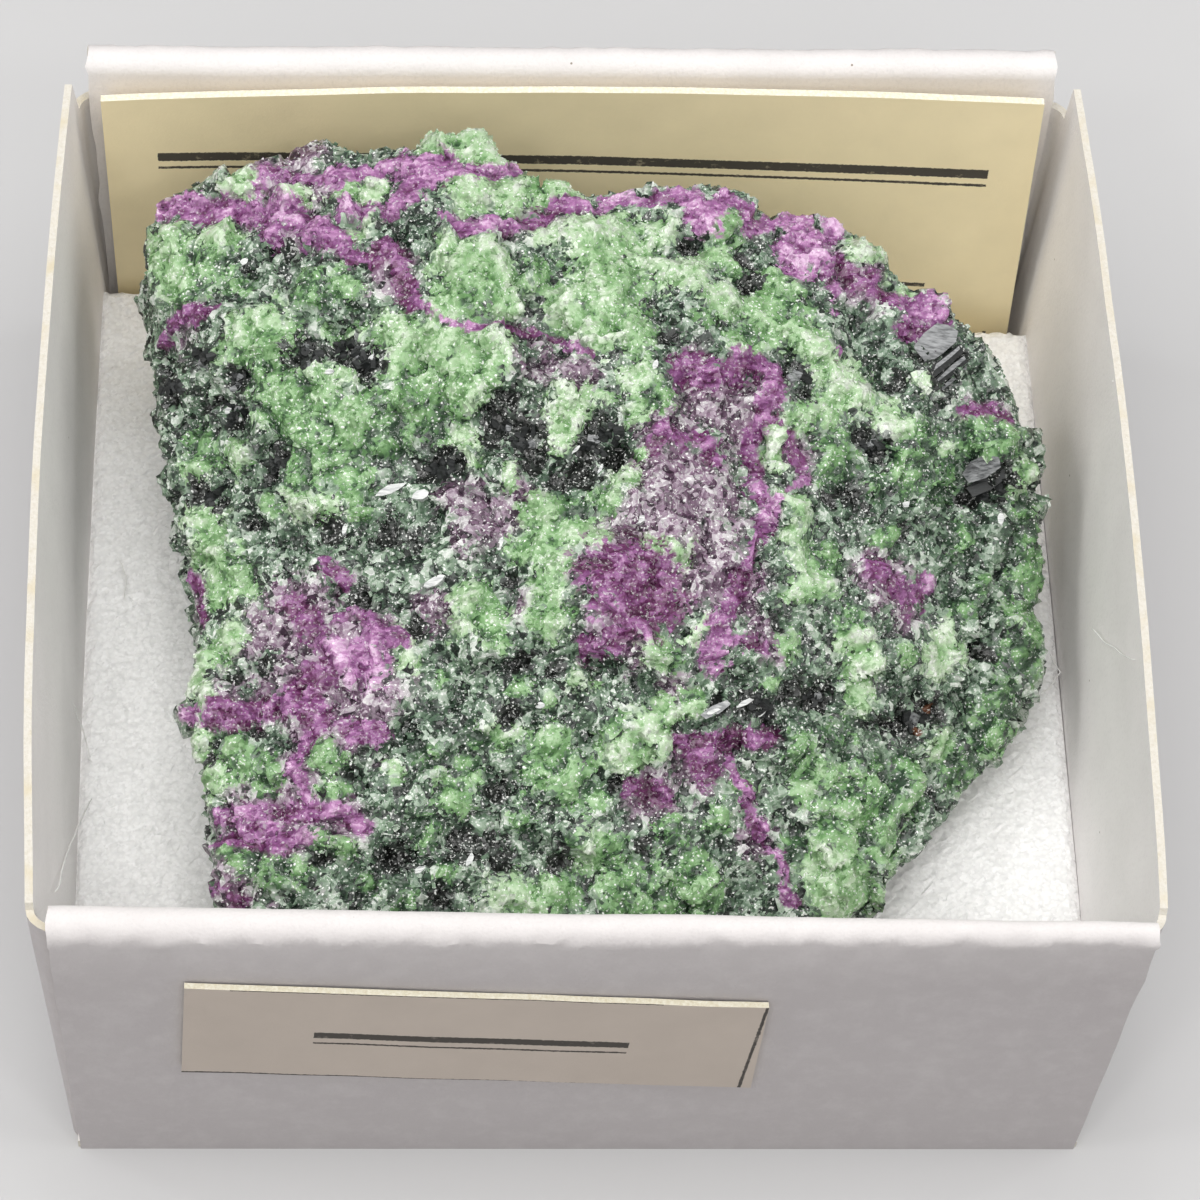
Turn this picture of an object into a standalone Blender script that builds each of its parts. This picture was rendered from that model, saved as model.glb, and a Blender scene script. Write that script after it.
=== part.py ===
"""A rough piece of ruby in zoisite in its folded card specimen tray, with a foam pad and two cards.

Sizes are in millimetres until to_object() turns them into metres. X runs across the tray, -Y is its
front and +Z is up. The origin is on the underside of the tray, at its middle.
"""

import math

import bmesh
import bpy
import numpy as np
from mathutils import Vector, noise

MM = 0.001
CLEARANCE = 0.3  # between pieces that touch

# The tray: one blank of white card. Its front and back walls are folded double.
CARD = 0.5
TRAY_HALF_WIDTH = 20.0  # to the ends of the folded walls, at the floor
TRAY_HALF_DEPTH = 20.5  # to the outer face of the folded walls, at the floor
SIDE_FACE = 20.35  # to the outer face of the side walls, at the floor
# Left and right end of each folded wall.
FOLDED_HEIGHT = {"front": (19.0, 19.0), "back": (19.0, 19.3)}
FOLDED_THICKNESS = {"front": (1.6, 0.95), "back": (1.4, 1.4)}
FOLDED_LEAN = {"front": (0.4, 0.4), "back": (0.35, 0.65)}  # how far it leans out at its top
FOLDED_REACH = {"front": (20.4, 20.4), "back": (20.45, 19.85)}  # to its ends, at its top
SIDE_HEIGHT = 18.6
SIDE_LEAN = {"left": 0.85, "right": 0.5}
SIDE_BOW = {"left": 0.6, "right": 0.5}  # how far it bulges at the middle of its top edge
CORNER_RADIUS = 0.9
TAB_LENGTH = 4.0  # the side wall's tab, tucked inside the folded wall
# The top of each side wall steps down to its tabs: how far from the middle, and to what height.
TAB_START = {("left", "back"): 18.7, ("right", "back"): 19.3, "front": 19.3}
TAB_HEIGHT = {"front": 18.3, "back": 16.4}

# The pad of white foam. Its back edge is cut a little askew.
PAD_TOP = 5.8
PAD_HALF_WIDTH = 19.75  # at its top
PAD_TAPER = 0.22  # how much further in its sides are at the floor
PAD_FRONT = -18.75
PAD_BACK_LEFT = 17.75
PAD_BACK_RIGHT = 16.05
PAD_EDGE = 0.35

# The name card stands on the tray's floor behind the pad and leans on the back wall.
NAME_CARD_HALF_WIDTH = 19.55
NAME_CARD_LEAN = -0.3  # how far its head is shifted to the left of its foot
NAME_CARD_THICKNESS = 0.35
NAME_CARD_FOOT = (18.15, 16.45)  # Y of the front face at the foot, left and right end
NAME_CARD_HEAD = (18.25, 18.35)  # Y of the front face at the top edge, left and right end
NAME_CARD_TOP = (18.1, 18.7)  # Z of the top edge, left and right end
NAME_CARD_BOW = 0.35  # how far its middle curves back
NAME_CARD_CROWN = 0.25  # how far the middle of its top edge stands higher

# The label on the front wall, stuck on a little crooked.
LABEL_SIZE = (21.7, 7.35)
LABEL_CENTRE = (-4.7, 10.9)  # X and Z
LABEL_TURN = math.radians(-4.0)
LABEL_THICKNESS = 0.2

# The stone lies on the pad as a wedge, thick at the back and thin at the front right. Its rim is the
# edge between the broken upper face and the steep sides: X, Y and height above the tray's underside.
STONE_FOOT = PAD_TOP + CLEARANCE
RIM = (
    (-13.9, -17.3, 11.3),
    (-14.3, -15.9, 12.0),
    (-14.8, -10.3, 12.6),
    (-15.8, -7.3, 12.8),
    (-15.5, -4.2, 13.2),
    (-16.0, -0.8, 13.5),
    (-16.4, 2.3, 14.0),
    (-17.2, 6.2, 14.3),
    (-17.2, 8.6, 14.5),
    (-17.9, 10.6, 14.8),
    (-17.9, 13.7, 15.4),
    (-17.0, 14.8, 16.5),
    (-14.7, 15.5, 17.5),
    (-11.6, 15.8, 18.2),
    (-8.0, 15.3, 19.0),
    (-6.3, 15.3, 20.2),
    (-4.4, 15.2, 20.7),
    (-2.9, 14.1, 20.0),
    (-2.5, 13.2, 19.6),
    (0.6, 13.0, 19.4),
    (5.2, 13.6, 19.2),
    (10.0, 12.8, 18.1),
    (12.4, 11.3, 17.3),
    (14.8, 10.2, 16.7),
    (16.7, 8.4, 15.4),
    (18.3, 5.8, 14.2),
    (18.7, 3.9, 13.4),
    (18.8, 2.1, 12.0),
    (18.7, -2.0, 10.8),
    (18.3, -5.2, 9.6),
    (17.2, -7.2, 9.0),
    (15.4, -8.6, 8.7),
    (13.2, -11.9, 8.4),
    (10.8, -14.6, 8.0),
    (5.0, -17.0, 8.6),
    (-3.0, -17.9, 9.6),
    (-10.0, -17.9, 10.6),
)
# Heights of the upper face inside the rim: X, Y, Z.
SPOT_HEIGHTS = (
    (-11.6, 10.6, 19.0),
    (-6.4, 10.1, 20.4),
    (-1.2, 10.1, 20.0),
    (4.5, 10.9, 19.8),
    (-13.5, 6.2, 18.0),
    (-4.8, 4.2, 19.3),
    (0.4, 5.8, 19.8),
    (-10.3, -0.5, 17.0),
    (-1.3, -3.3, 17.6),
    (4.6, 1.0, 18.9),
    (6.5, -4.9, 17.0),
    (11.2, 0.5, 15.7),
    (12.7, 7.4, 17.3),
    (15.0, -2.3, 12.9),
    (1.0, -10.5, 14.0),
    (-9.4, -10.7, 14.4),
    (8.3, -11.6, 10.8),
    (-3.6, -14.4, 11.6),
)
# Rounded knobs of coarse zoisite (positive) and hollows where crystals broke out (negative):
# X, Y, radius, height.
LUMPS = (
    (-4.3, 8.3, 2.5, 0.9),
    (-4.6, 4.3, 2.4, 0.8),
    (-13.6, 6.5, 2.2, 1.0),
    (-16.2, 11.2, 2.2, 0.6),
    (-10.0, 3.0, 3.4, 0.6),
    (0.5, 8.6, 2.8, 0.5),
    (-10.6, 5.8, 1.5, -1.1),
    (-15.6, 4.6, 1.4, -1.0),
    (-13.0, 9.2, 2.0, -0.6),
    (-1.0, 5.6, 1.8, -0.5),
    (-6.5, 0.2, 3.6, -0.6),
    (0.2, 0.9, 2.2, -0.5),
    (0.6, -5.2, 2.1, 0.5),
    (-9.0, -6.3, 1.4, 0.7),
    (-12.9, -8.2, 2.6, 0.4),
    (-13.0, -12.5, 2.2, -0.4),
    (3.6, -1.8, 2.2, 0.35),
    (9.0, -4.2, 1.8, -0.5),
    (12.2, -4.6, 2.2, 0.5),
    (10.6, 5.4, 2.0, -0.5),
    (14.2, 6.4, 1.6, 0.6),
    (17.4, 3.8, 1.6, 1.0),
    (10.3, -12.2, 2.4, 0.7),
    (4.8, -9.6, 2.4, -0.5),
    (14.0, -7.3, 1.8, -0.6),
    (-3.0, -11.2, 2.6, -0.35),
    (6.6, 8.4, 2.4, -0.4),
)
# Ledges: a line across the upper face (X, Y from, X, Y to), the drop on its right-hand side and how
# far back from the line the lower side climbs to meet the face again.
LEDGES = (
    ((7.3, 4.2), (6.6, -7.2), 1.0, 5.5),
    ((3.4, 4.6), (7.4, 4.4), 0.7, 3.5),
    ((16.6, 3.4), (14.8, -5.8), 1.1, 4.0),
    ((-7.6, 10.4), (-16.9, 12.6), 0.7, 3.0),
    ((-3.4, 9.2), (8.2, 11.9), 0.5, 2.5),
    ((-16.4, -0.9), (-12.4, -2.0), 0.7, 2.5),
    ((3.6, -9.2), (8.8, -16.0), 0.6, 3.0),
)
SIDE_INSET = 1.7  # how far the foot of the stone lies inside its rim
SIDE_BELLY = 0.1  # how far the side bulges between the two
FOOT_RISE = 0.9  # how far the underside curves up towards its edge
RIM_STEPS = 150
FACE_RINGS = 26
SIDE_RINGS = 8
FOOT_RINGS = 8
JAG = 0.28  # unevenness of the rim line
REMESH_VOXEL = 0.42
FACET_SIZE = 2.2  # width of the flat breaks between crystals
FACET_TILT = 0.13
ROUGHNESS = ((0.22, 0.35), (0.55, 0.22), (1.1, 0.1))  # frequency per mm, height
STONE_TRIANGLES = 8500
SEED = Vector((3.7, 11.3, 5.1))


def material(name, colour, roughness):
    made = bpy.data.materials.new(name)
    made.use_nodes = True
    shader = made.node_tree.nodes["Principled BSDF"]
    shader.inputs["Base Color"].default_value = (*colour, 1.0)
    shader.inputs["Roughness"].default_value = roughness
    return made


def to_object(name, bm, look):
    """The bmesh as an object, its millimetres turned into metres."""
    bmesh.ops.recalc_face_normals(bm, faces=bm.faces)
    bmesh.ops.scale(bm, vec=(MM, MM, MM), verts=bm.verts)
    mesh = bpy.data.meshes.new(name)
    bm.to_mesh(mesh)
    bm.free()
    mesh.materials.append(look)
    made = bpy.data.objects.new(name, mesh)
    bpy.context.scene.collection.objects.link(made)
    return made


def loft(rings):
    """A closed bmesh through rings of equally many points, capped at both ends."""
    bm = bmesh.new()
    loops = [[bm.verts.new(point) for point in ring] for ring in rings]
    count = len(loops[0])
    for lower, upper in zip(loops, loops[1:]):
        for i in range(count):
            j = (i + 1) % count
            bm.faces.new((lower[i], lower[j], upper[j], upper[i]))
    bm.faces.new(loops[0])
    bm.faces.new(loops[-1])
    return bm


def union(base, others):
    """Joins the others into base with Boolean modifiers, and hides them as cutters are hidden."""
    for other in others:
        other.hide_render = True
        other.display_type = "WIRE"
        join = base.modifiers.new("join_" + other.name, "BOOLEAN")
        join.operation = "UNION"
        join.object = other


# ------------------------------------------------------------------ tray


def between(ends, along):
    return ends[0] + (ends[1] - ends[0]) * along


def fold_profile(height, thickness):
    """A folded wall's section from its outer foot over the rounded fold: inward distance and height."""
    radius = thickness / 2
    straight = height - radius
    profile = [(0.0, 0.0), (0.0, straight)]
    for step in range(1, 8):
        angle = math.pi * step / 8
        profile.append((radius - radius * math.cos(angle), straight + radius * math.sin(angle)))
    return profile + [(thickness, straight), (thickness, 0.0)]


def folded_wall(which, look):
    """The front or back wall: a slab with a rounded fold along its top."""
    side = 1 if which == "back" else -1
    rings = []
    for along in np.linspace(0.0, 1.0, 17):
        height = between(FOLDED_HEIGHT[which], along)
        lean = between(FOLDED_LEAN[which], along)
        reach = between((-FOLDED_REACH[which][0], FOLDED_REACH[which][1]), along)
        foot_reach = between((-TRAY_HALF_WIDTH, TRAY_HALF_WIDTH), along)
        ring = []
        for inward, z in fold_profile(height, between(FOLDED_THICKNESS[which], along)):
            up = z / height
            y = side * (TRAY_HALF_DEPTH + lean * up - inward)
            ring.append((between((foot_reach, reach), up), y, z))
        rings.append(ring)
    return to_object(which + "_wall", loft(rings), look)


def half_path(tab_start, tab_height):
    """Half of the right wall's plan: points with their outward directions and top heights."""
    tab_y = TRAY_HALF_DEPTH - 0.4
    radius = tab_y - max(tab_start + 0.15, tab_y - CORNER_RADIUS)
    corner_x, corner_y = SIDE_FACE - radius, tab_y - radius
    half = [((SIDE_FACE, y), (1.0, 0.0), SIDE_HEIGHT) for y in np.linspace(0.0, tab_start, 12)]
    for step in range(7):
        angle = 0.5 * math.pi * step / 6
        out = (math.cos(angle), math.sin(angle))
        bend = (corner_x + radius * out[0], corner_y + radius * out[1])
        half.append((bend, out, tab_height))
    half.append(((SIDE_FACE - CORNER_RADIUS - TAB_LENGTH, tab_y), (0.0, 1.0), tab_height))
    return half


def side_path(which):
    """A side wall's plan from its front tab to its back tab, drawn for the right wall."""
    back = half_path(TAB_START[(which, "back")], TAB_HEIGHT["back"])
    front = half_path(TAB_START["front"], TAB_HEIGHT["front"])
    turned = [((x, -y), (out_x, -out_y), top) for (x, y), (out_x, out_y), top in reversed(front[1:])]
    return turned + back


def side_wall(which, look):
    """The left or right wall of single card, whose tabs turn into the folded walls."""
    side = 1 if which == "right" else -1
    rings = []
    for (x, y), (out_x, out_y), top in side_path(which):
        bulge = SIDE_BOW[which] * (1.0 - (y / TRAY_HALF_DEPTH) ** 2)
        ring = []
        for inward, z in ((0, 0), (0, top), (CARD, top), (CARD, 0)):
            up = z / SIDE_HEIGHT
            lean_x = out_x * (SIDE_LEAN[which] + bulge) * up
            lean_y = out_y * 0.35 * up
            ring.append((side * (x + lean_x - out_x * inward), y + lean_y - out_y * inward, z))
        rings.append(ring)
    return to_object(which + "_wall", loft(rings), look)


def tray(look):
    """The whole tray as one solid: floor, two folded walls and two single walls."""
    reach_x = TRAY_HALF_WIDTH + 0.1
    reach_y = TRAY_HALF_DEPTH - 0.1
    corners = [(-reach_x, -reach_y), (reach_x, -reach_y), (reach_x, reach_y), (-reach_x, reach_y)]
    floor = loft([[(x, y, z) for x, y in corners] for z in (0.0, CARD)])
    whole = to_object("tray", floor, look)
    walls = [folded_wall(which, look) for which in ("front", "back")]
    walls += [side_wall(which, look) for which in ("left", "right")]
    union(whole, walls)
    return whole


# ------------------------------------------------------------------ pad and cards


def foam_pad(look):
    rings = []
    for half, z in ((PAD_HALF_WIDTH - PAD_TAPER, CARD + CLEARANCE), (PAD_HALF_WIDTH, PAD_TOP)):
        front = [(-half, PAD_FRONT, z), (half, PAD_FRONT, z)]
        rings.append(front + [(half, PAD_BACK_RIGHT, z), (-half, PAD_BACK_LEFT, z)])
    pad = to_object("foam_pad", loft(rings), look)
    bevel = pad.modifiers.new("edge", "BEVEL")
    bevel.width = PAD_EDGE * MM
    bevel.segments = 2
    return pad


def name_card(look):
    """A card curved back at its middle, standing behind the pad and leaning on the back wall."""
    bottom = CARD + CLEARANCE
    rings = []
    for along in np.linspace(0.0, 1.0, 15):
        arch = 1.0 - (2.0 * along - 1.0) ** 2
        x = NAME_CARD_HALF_WIDTH * (2.0 * along - 1.0)
        top = between(NAME_CARD_TOP, along) + NAME_CARD_CROWN * arch
        face = []
        for up in np.linspace(0.0, 1.0, 5):
            y = between((between(NAME_CARD_FOOT, along), between(NAME_CARD_HEAD, along)), up)
            shifted = x + NAME_CARD_LEAN * up
            face.append((shifted, y + NAME_CARD_BOW * arch, bottom + (top - bottom) * up))
        back = [(x, y + NAME_CARD_THICKNESS, z) for x, y, z in reversed(face)]
        rings.append(face + back)
    return to_object("name_card", loft(rings), look)


def front_label(look):
    """A paper label on the front wall, following the wall's lean."""
    slope = FOLDED_LEAN["front"][0] / FOLDED_HEIGHT["front"][0]
    rings = []
    for across in (-0.5, 0.5):
        ring = []
        for up, proud in ((-0.5, 0), (0.5, 0), (0.5, 1), (-0.5, 1)):
            x, z = across * LABEL_SIZE[0], up * LABEL_SIZE[1]
            turned_x = LABEL_CENTRE[0] + x * math.cos(LABEL_TURN) - z * math.sin(LABEL_TURN)
            turned_z = LABEL_CENTRE[1] + x * math.sin(LABEL_TURN) + z * math.cos(LABEL_TURN)
            away = CLEARANCE + proud * LABEL_THICKNESS
            ring.append((turned_x, -(TRAY_HALF_DEPTH + slope * turned_z) - away, turned_z))
        rings.append(ring)
    return to_object("front_label", loft(rings), look)


# ------------------------------------------------------------------ stone


def thin_plate(points):
    """A smooth surface z(x, y) through points, as a function."""
    known = np.array(points, float)
    plan, height = known[:, :2], known[:, 2]

    def kernel(a, b):
        square = ((a[:, None, :] - b[None, :, :]) ** 2).sum(axis=2)
        return 0.5 * square * np.log(square + 1e-9)

    count = len(known)
    level = np.c_[np.ones(count), plan]
    system = np.zeros((count + 3, count + 3))
    system[:count, :count] = kernel(plan, plan) + np.eye(count) * 0.5
    system[:count, count:] = level
    system[count:, :count] = level.T
    weights = np.linalg.solve(system, np.r_[height, np.zeros(3)])

    def surface(at):
        return kernel(at, plan) @ weights[:count] + np.c_[np.ones(len(at)), at] @ weights[count:]

    return surface


def smooth_step(t):
    t = np.clip(t, 0.0, 1.0)
    return t * t * (3.0 - 2.0 * t)


def lumps_at(at):
    total = np.zeros(len(at))
    for x, y, radius, height in LUMPS:
        near = ((at[:, 0] - x) ** 2 + (at[:, 1] - y) ** 2) / radius**2
        total += height * np.sqrt(np.clip(1.0 - near, 0.0, 1.0))
    return total


def ledges_at(at):
    """How far the ledges lower the upper face: a sharp drop at the line, healing with distance."""
    total = np.zeros(len(at))
    for start, end, drop, reach in LEDGES:
        start, end = np.array(start), np.array(end)
        run = end - start
        length = np.linalg.norm(run)
        run = run / length
        right = np.array((run[1], -run[0]))
        along = (at - start) @ run
        across = (at - start) @ right
        ends = smooth_step(along / 1.5) * smooth_step((length - along) / 1.5)
        step = smooth_step(across / 0.35) * np.clip(1.0 - across / reach, 0.0, 1.0)
        total -= drop * ends * step
    return total


def rim_line():
    """The rim's corners joined by short jagged runs, as an array of RIM_STEPS points."""
    corners = np.array(RIM, float)
    closed = np.vstack((corners, corners[:1]))
    lengths = np.linalg.norm(np.diff(closed[:, :2], axis=0), axis=1)
    travelled = np.r_[0.0, np.cumsum(lengths)]
    stations = np.linspace(0.0, travelled[-1], RIM_STEPS, endpoint=False)
    line = np.column_stack([np.interp(stations, travelled, closed[:, k]) for k in range(3)])
    middle = line[:, :2].mean(axis=0)
    for point in line:
        jag = noise.noise(Vector(point) * 0.9 + SEED) * JAG
        outward = point[:2] - middle
        point[:2] += jag * outward / np.linalg.norm(outward)
    return line, middle


def stone_rings():
    """Rings of points from the middle of the upper face over the rim and down to the underside."""
    line, middle = rim_line()
    surface = thin_plate(RIM + SPOT_HEIGHTS)
    rings = []
    for step in range(1, FACE_RINGS + 1):
        share = (step / FACE_RINGS) ** 0.8
        plan = middle + (line[:, :2] - middle) * share
        height = surface(plan) + lumps_at(plan) + ledges_at(plan) * smooth_step((1.0 - share) * 9.0)
        rings.append(np.column_stack((plan, height)))
    rim = rings[-1]
    outward = rim[:, :2] - middle
    outward /= np.linalg.norm(outward, axis=1)[:, None]
    for step in range(1, SIDE_RINGS + 1):
        down = step / SIDE_RINGS
        inset = SIDE_INSET * down**1.6 - SIDE_BELLY * math.sin(math.pi * down)
        height = rim[:, 2] + (STONE_FOOT + FOOT_RISE - rim[:, 2]) * down
        rings.append(np.column_stack((rim[:, :2] - outward * inset, height)))
    foot = rings[-1]
    for step in range(1, FOOT_RINGS):
        share = 1.0 - step / FOOT_RINGS
        plan = middle + (foot[:, :2] - middle) * share
        rise = FOOT_RISE * max(0.0, share - 0.6) / 0.4
        rings.append(np.column_stack((plan, np.full(len(plan), STONE_FOOT + rise))))
    return rings


def facet_offset(point):
    """Height of the flat breaks: each cell of the rock has a plane of its own tilt."""
    where = point / FACET_SIZE + SEED
    _, cells = noise.voronoi(where)
    centre = cells[0]
    tilt = noise.cell_vector(centre * 7.3) - Vector((0.5, 0.5, 0.5))
    return FACET_TILT * 2.0 * (where - centre).dot(tilt) * FACET_SIZE


def roughen(mesh):
    """Moves each vertex along its normal by the broken facets and the finer unevenness."""
    moved = []
    for vertex in mesh.vertices:
        point = vertex.co / MM
        offset = facet_offset(point)
        for frequency, height in ROUGHNESS:
            offset += height * noise.noise(point * frequency + SEED)
        moved.append(point + vertex.normal * offset)
    for vertex, point in zip(mesh.vertices, moved):
        point.z = max(point.z, STONE_FOOT)
        vertex.co = point * MM


def stone(look):
    """The stone as one solid: lofted, evened out by a remesh, broken into facets and thinned."""
    rough = to_object("stone", loft([ring.tolist() for ring in stone_rings()]), look)
    remesh = rough.modifiers.new("even", "REMESH")
    remesh.mode = "VOXEL"
    remesh.voxel_size = REMESH_VOXEL * MM
    graph = bpy.context.evaluated_depsgraph_get()
    mesh = bpy.data.meshes.new_from_object(rough.evaluated_get(graph))
    mesh.name = "stone_broken"
    roughen(mesh)
    rough.modifiers.clear()
    rough.data = mesh
    mesh.calc_loop_triangles()
    thin = rough.modifiers.new("thin", "DECIMATE")
    thin.ratio = STONE_TRIANGLES / len(mesh.loop_triangles)
    return rough


def main():
    for old in list(bpy.data.objects):
        bpy.data.objects.remove(old)
    card_white = material("white_card", (0.78, 0.76, 0.76), 0.75)
    foam_white = material("white_foam", (0.86, 0.86, 0.87), 0.6)
    cream = material("cream_card", (0.66, 0.59, 0.42), 0.7)
    rock = material("ruby_in_zoisite", (0.16, 0.22, 0.16), 0.45)
    tray(card_white)
    foam_pad(foam_white)
    name_card(cream)
    front_label(cream)
    stone(rock)


main()
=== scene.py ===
"""The looks of the ruby in zoisite in its card tray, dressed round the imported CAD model.

Lengths are in millimetres in the code and become metres when a mesh is made. Picture coordinates are in
the photograph's 1200 by 1200 frame, and are cast through the scene's own camera onto the stone.
"""

import math

import bpy
import numpy as np
from mathutils import Euler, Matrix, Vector, noise
from mathutils.bvhtree import BVHTree


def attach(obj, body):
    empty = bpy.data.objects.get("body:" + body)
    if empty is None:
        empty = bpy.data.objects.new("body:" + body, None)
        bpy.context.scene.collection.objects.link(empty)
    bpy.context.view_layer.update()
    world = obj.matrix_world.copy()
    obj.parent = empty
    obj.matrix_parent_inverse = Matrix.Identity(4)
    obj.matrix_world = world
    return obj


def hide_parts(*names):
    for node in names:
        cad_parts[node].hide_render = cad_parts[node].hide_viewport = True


MM = 0.001
PICTURE = 1200.0

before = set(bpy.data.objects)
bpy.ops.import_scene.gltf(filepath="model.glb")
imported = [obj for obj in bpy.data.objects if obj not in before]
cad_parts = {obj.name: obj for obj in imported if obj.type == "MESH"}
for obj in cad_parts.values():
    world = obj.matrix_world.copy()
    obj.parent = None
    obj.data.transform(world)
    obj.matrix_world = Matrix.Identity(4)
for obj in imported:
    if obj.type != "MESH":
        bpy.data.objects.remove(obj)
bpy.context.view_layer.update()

# ------------------------------------------------------------------ camera, light and floor

CAMERA_AT = Vector((-9.9, -94.58, 160.29))
CAMERA_TURN = Euler([math.radians(a) for a in (32.02, -3.16, -1.42)], "XYZ")
FOCAL_PIXELS = 4358.8
SENSOR = 36.0
AIM = Vector((0.0, 0.0, 0.01))  # where every lamp points, in metres
# The small lamps: degrees round the stone, and height and distance in metres.
SPARKS = ((20, 0.42), (95, 0.5), (160, 0.4), (235, 0.46), (305, 0.42))
SPARK_REACH = 0.34
SPARK_SIZE = (0.05, 0.05)
SPARK_POWER = 0.17
FLOOR_REACH = 1.5


def make_camera():
    """The photograph's camera, as solved from the tray's corners."""
    data = bpy.data.cameras.new("camera")
    data.sensor_width = SENSOR
    data.lens = SENSOR * FOCAL_PIXELS / PICTURE
    data.clip_start = 0.01
    data.clip_end = 20.0
    camera = bpy.data.objects.new("camera", data)
    camera.location = CAMERA_AT * MM
    camera.rotation_euler = CAMERA_TURN
    bpy.context.scene.collection.objects.link(camera)
    bpy.context.scene.camera = camera


def area_light(name, at, size, power, colour=(1.0, 1.0, 1.0)):
    """A rectangular lamp, in metres, that points at the stone."""
    data = bpy.data.lights.new(name, "AREA")
    data.shape = "RECTANGLE"
    data.size, data.size_y = size
    data.energy = power
    data.color = colour
    light = bpy.data.objects.new(name, data)
    light.location = at
    light.rotation_euler = (AIM - Vector(at)).to_track_quat("-Z", "Y").to_euler()
    bpy.context.scene.collection.objects.link(light)


def make_light():
    """Four large soft lamps, a pale surrounding and a ring of small lamps."""
    world = bpy.data.worlds.new("studio")
    bpy.context.scene.world = world
    world.use_nodes = True
    sky = world.node_tree.nodes["Background"]
    sky.inputs["Color"].default_value = (1.0, 1.0, 1.0, 1.0)
    sky.inputs["Strength"].default_value = 0.30
    warm = (1.0, 0.985, 0.965)
    area_light("softbox_top", (-0.02, 0.0, 0.5), (0.36, 0.30), 1.05, warm)
    area_light("softbox_front", (-0.05, -0.30, 0.42), (0.44, 0.26), 0.72, warm)
    area_light("softbox_left", (-0.43, -0.04, 0.36), (0.22, 0.34), 0.72, warm)
    area_light("softbox_right", (0.43, -0.04, 0.36), (0.22, 0.34), 0.72, warm)
    # Small lamps round the stone, which the crystal faces flash back.
    for number, (turn, high) in enumerate(SPARKS):
        angle = math.radians(turn)
        at = (SPARK_REACH * math.cos(angle), SPARK_REACH * math.sin(angle), high)
        area_light(f"spark_{number}", at, SPARK_SIZE, SPARK_POWER)
    bpy.context.scene.view_settings.view_transform = "Standard"


def make_floor():
    """The plain pale table."""
    mesh = bpy.data.meshes.new("floor")
    corners = [(x * FLOOR_REACH, y * FLOOR_REACH, 0) for x, y in ((-1, -1), (1, -1), (1, 1), (-1, 1))]
    mesh.from_pydata(corners, [], [(0, 1, 2, 3)])
    floor = bpy.data.objects.new("floor", mesh)
    bpy.context.scene.collection.objects.link(floor)
    nodes = Nodes("floor")
    cloud = nodes.noise(nodes.where(1.0), 6.0, 2.0)
    colour = nodes.ramp(cloud, (0.3, 0.53, 0.53, 0.535), (0.7, 0.56, 0.56, 0.565))
    nodes.surface(colour, roughness=0.85)
    mesh.materials.append(nodes.material)


# ------------------------------------------------------------------ materials


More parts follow.
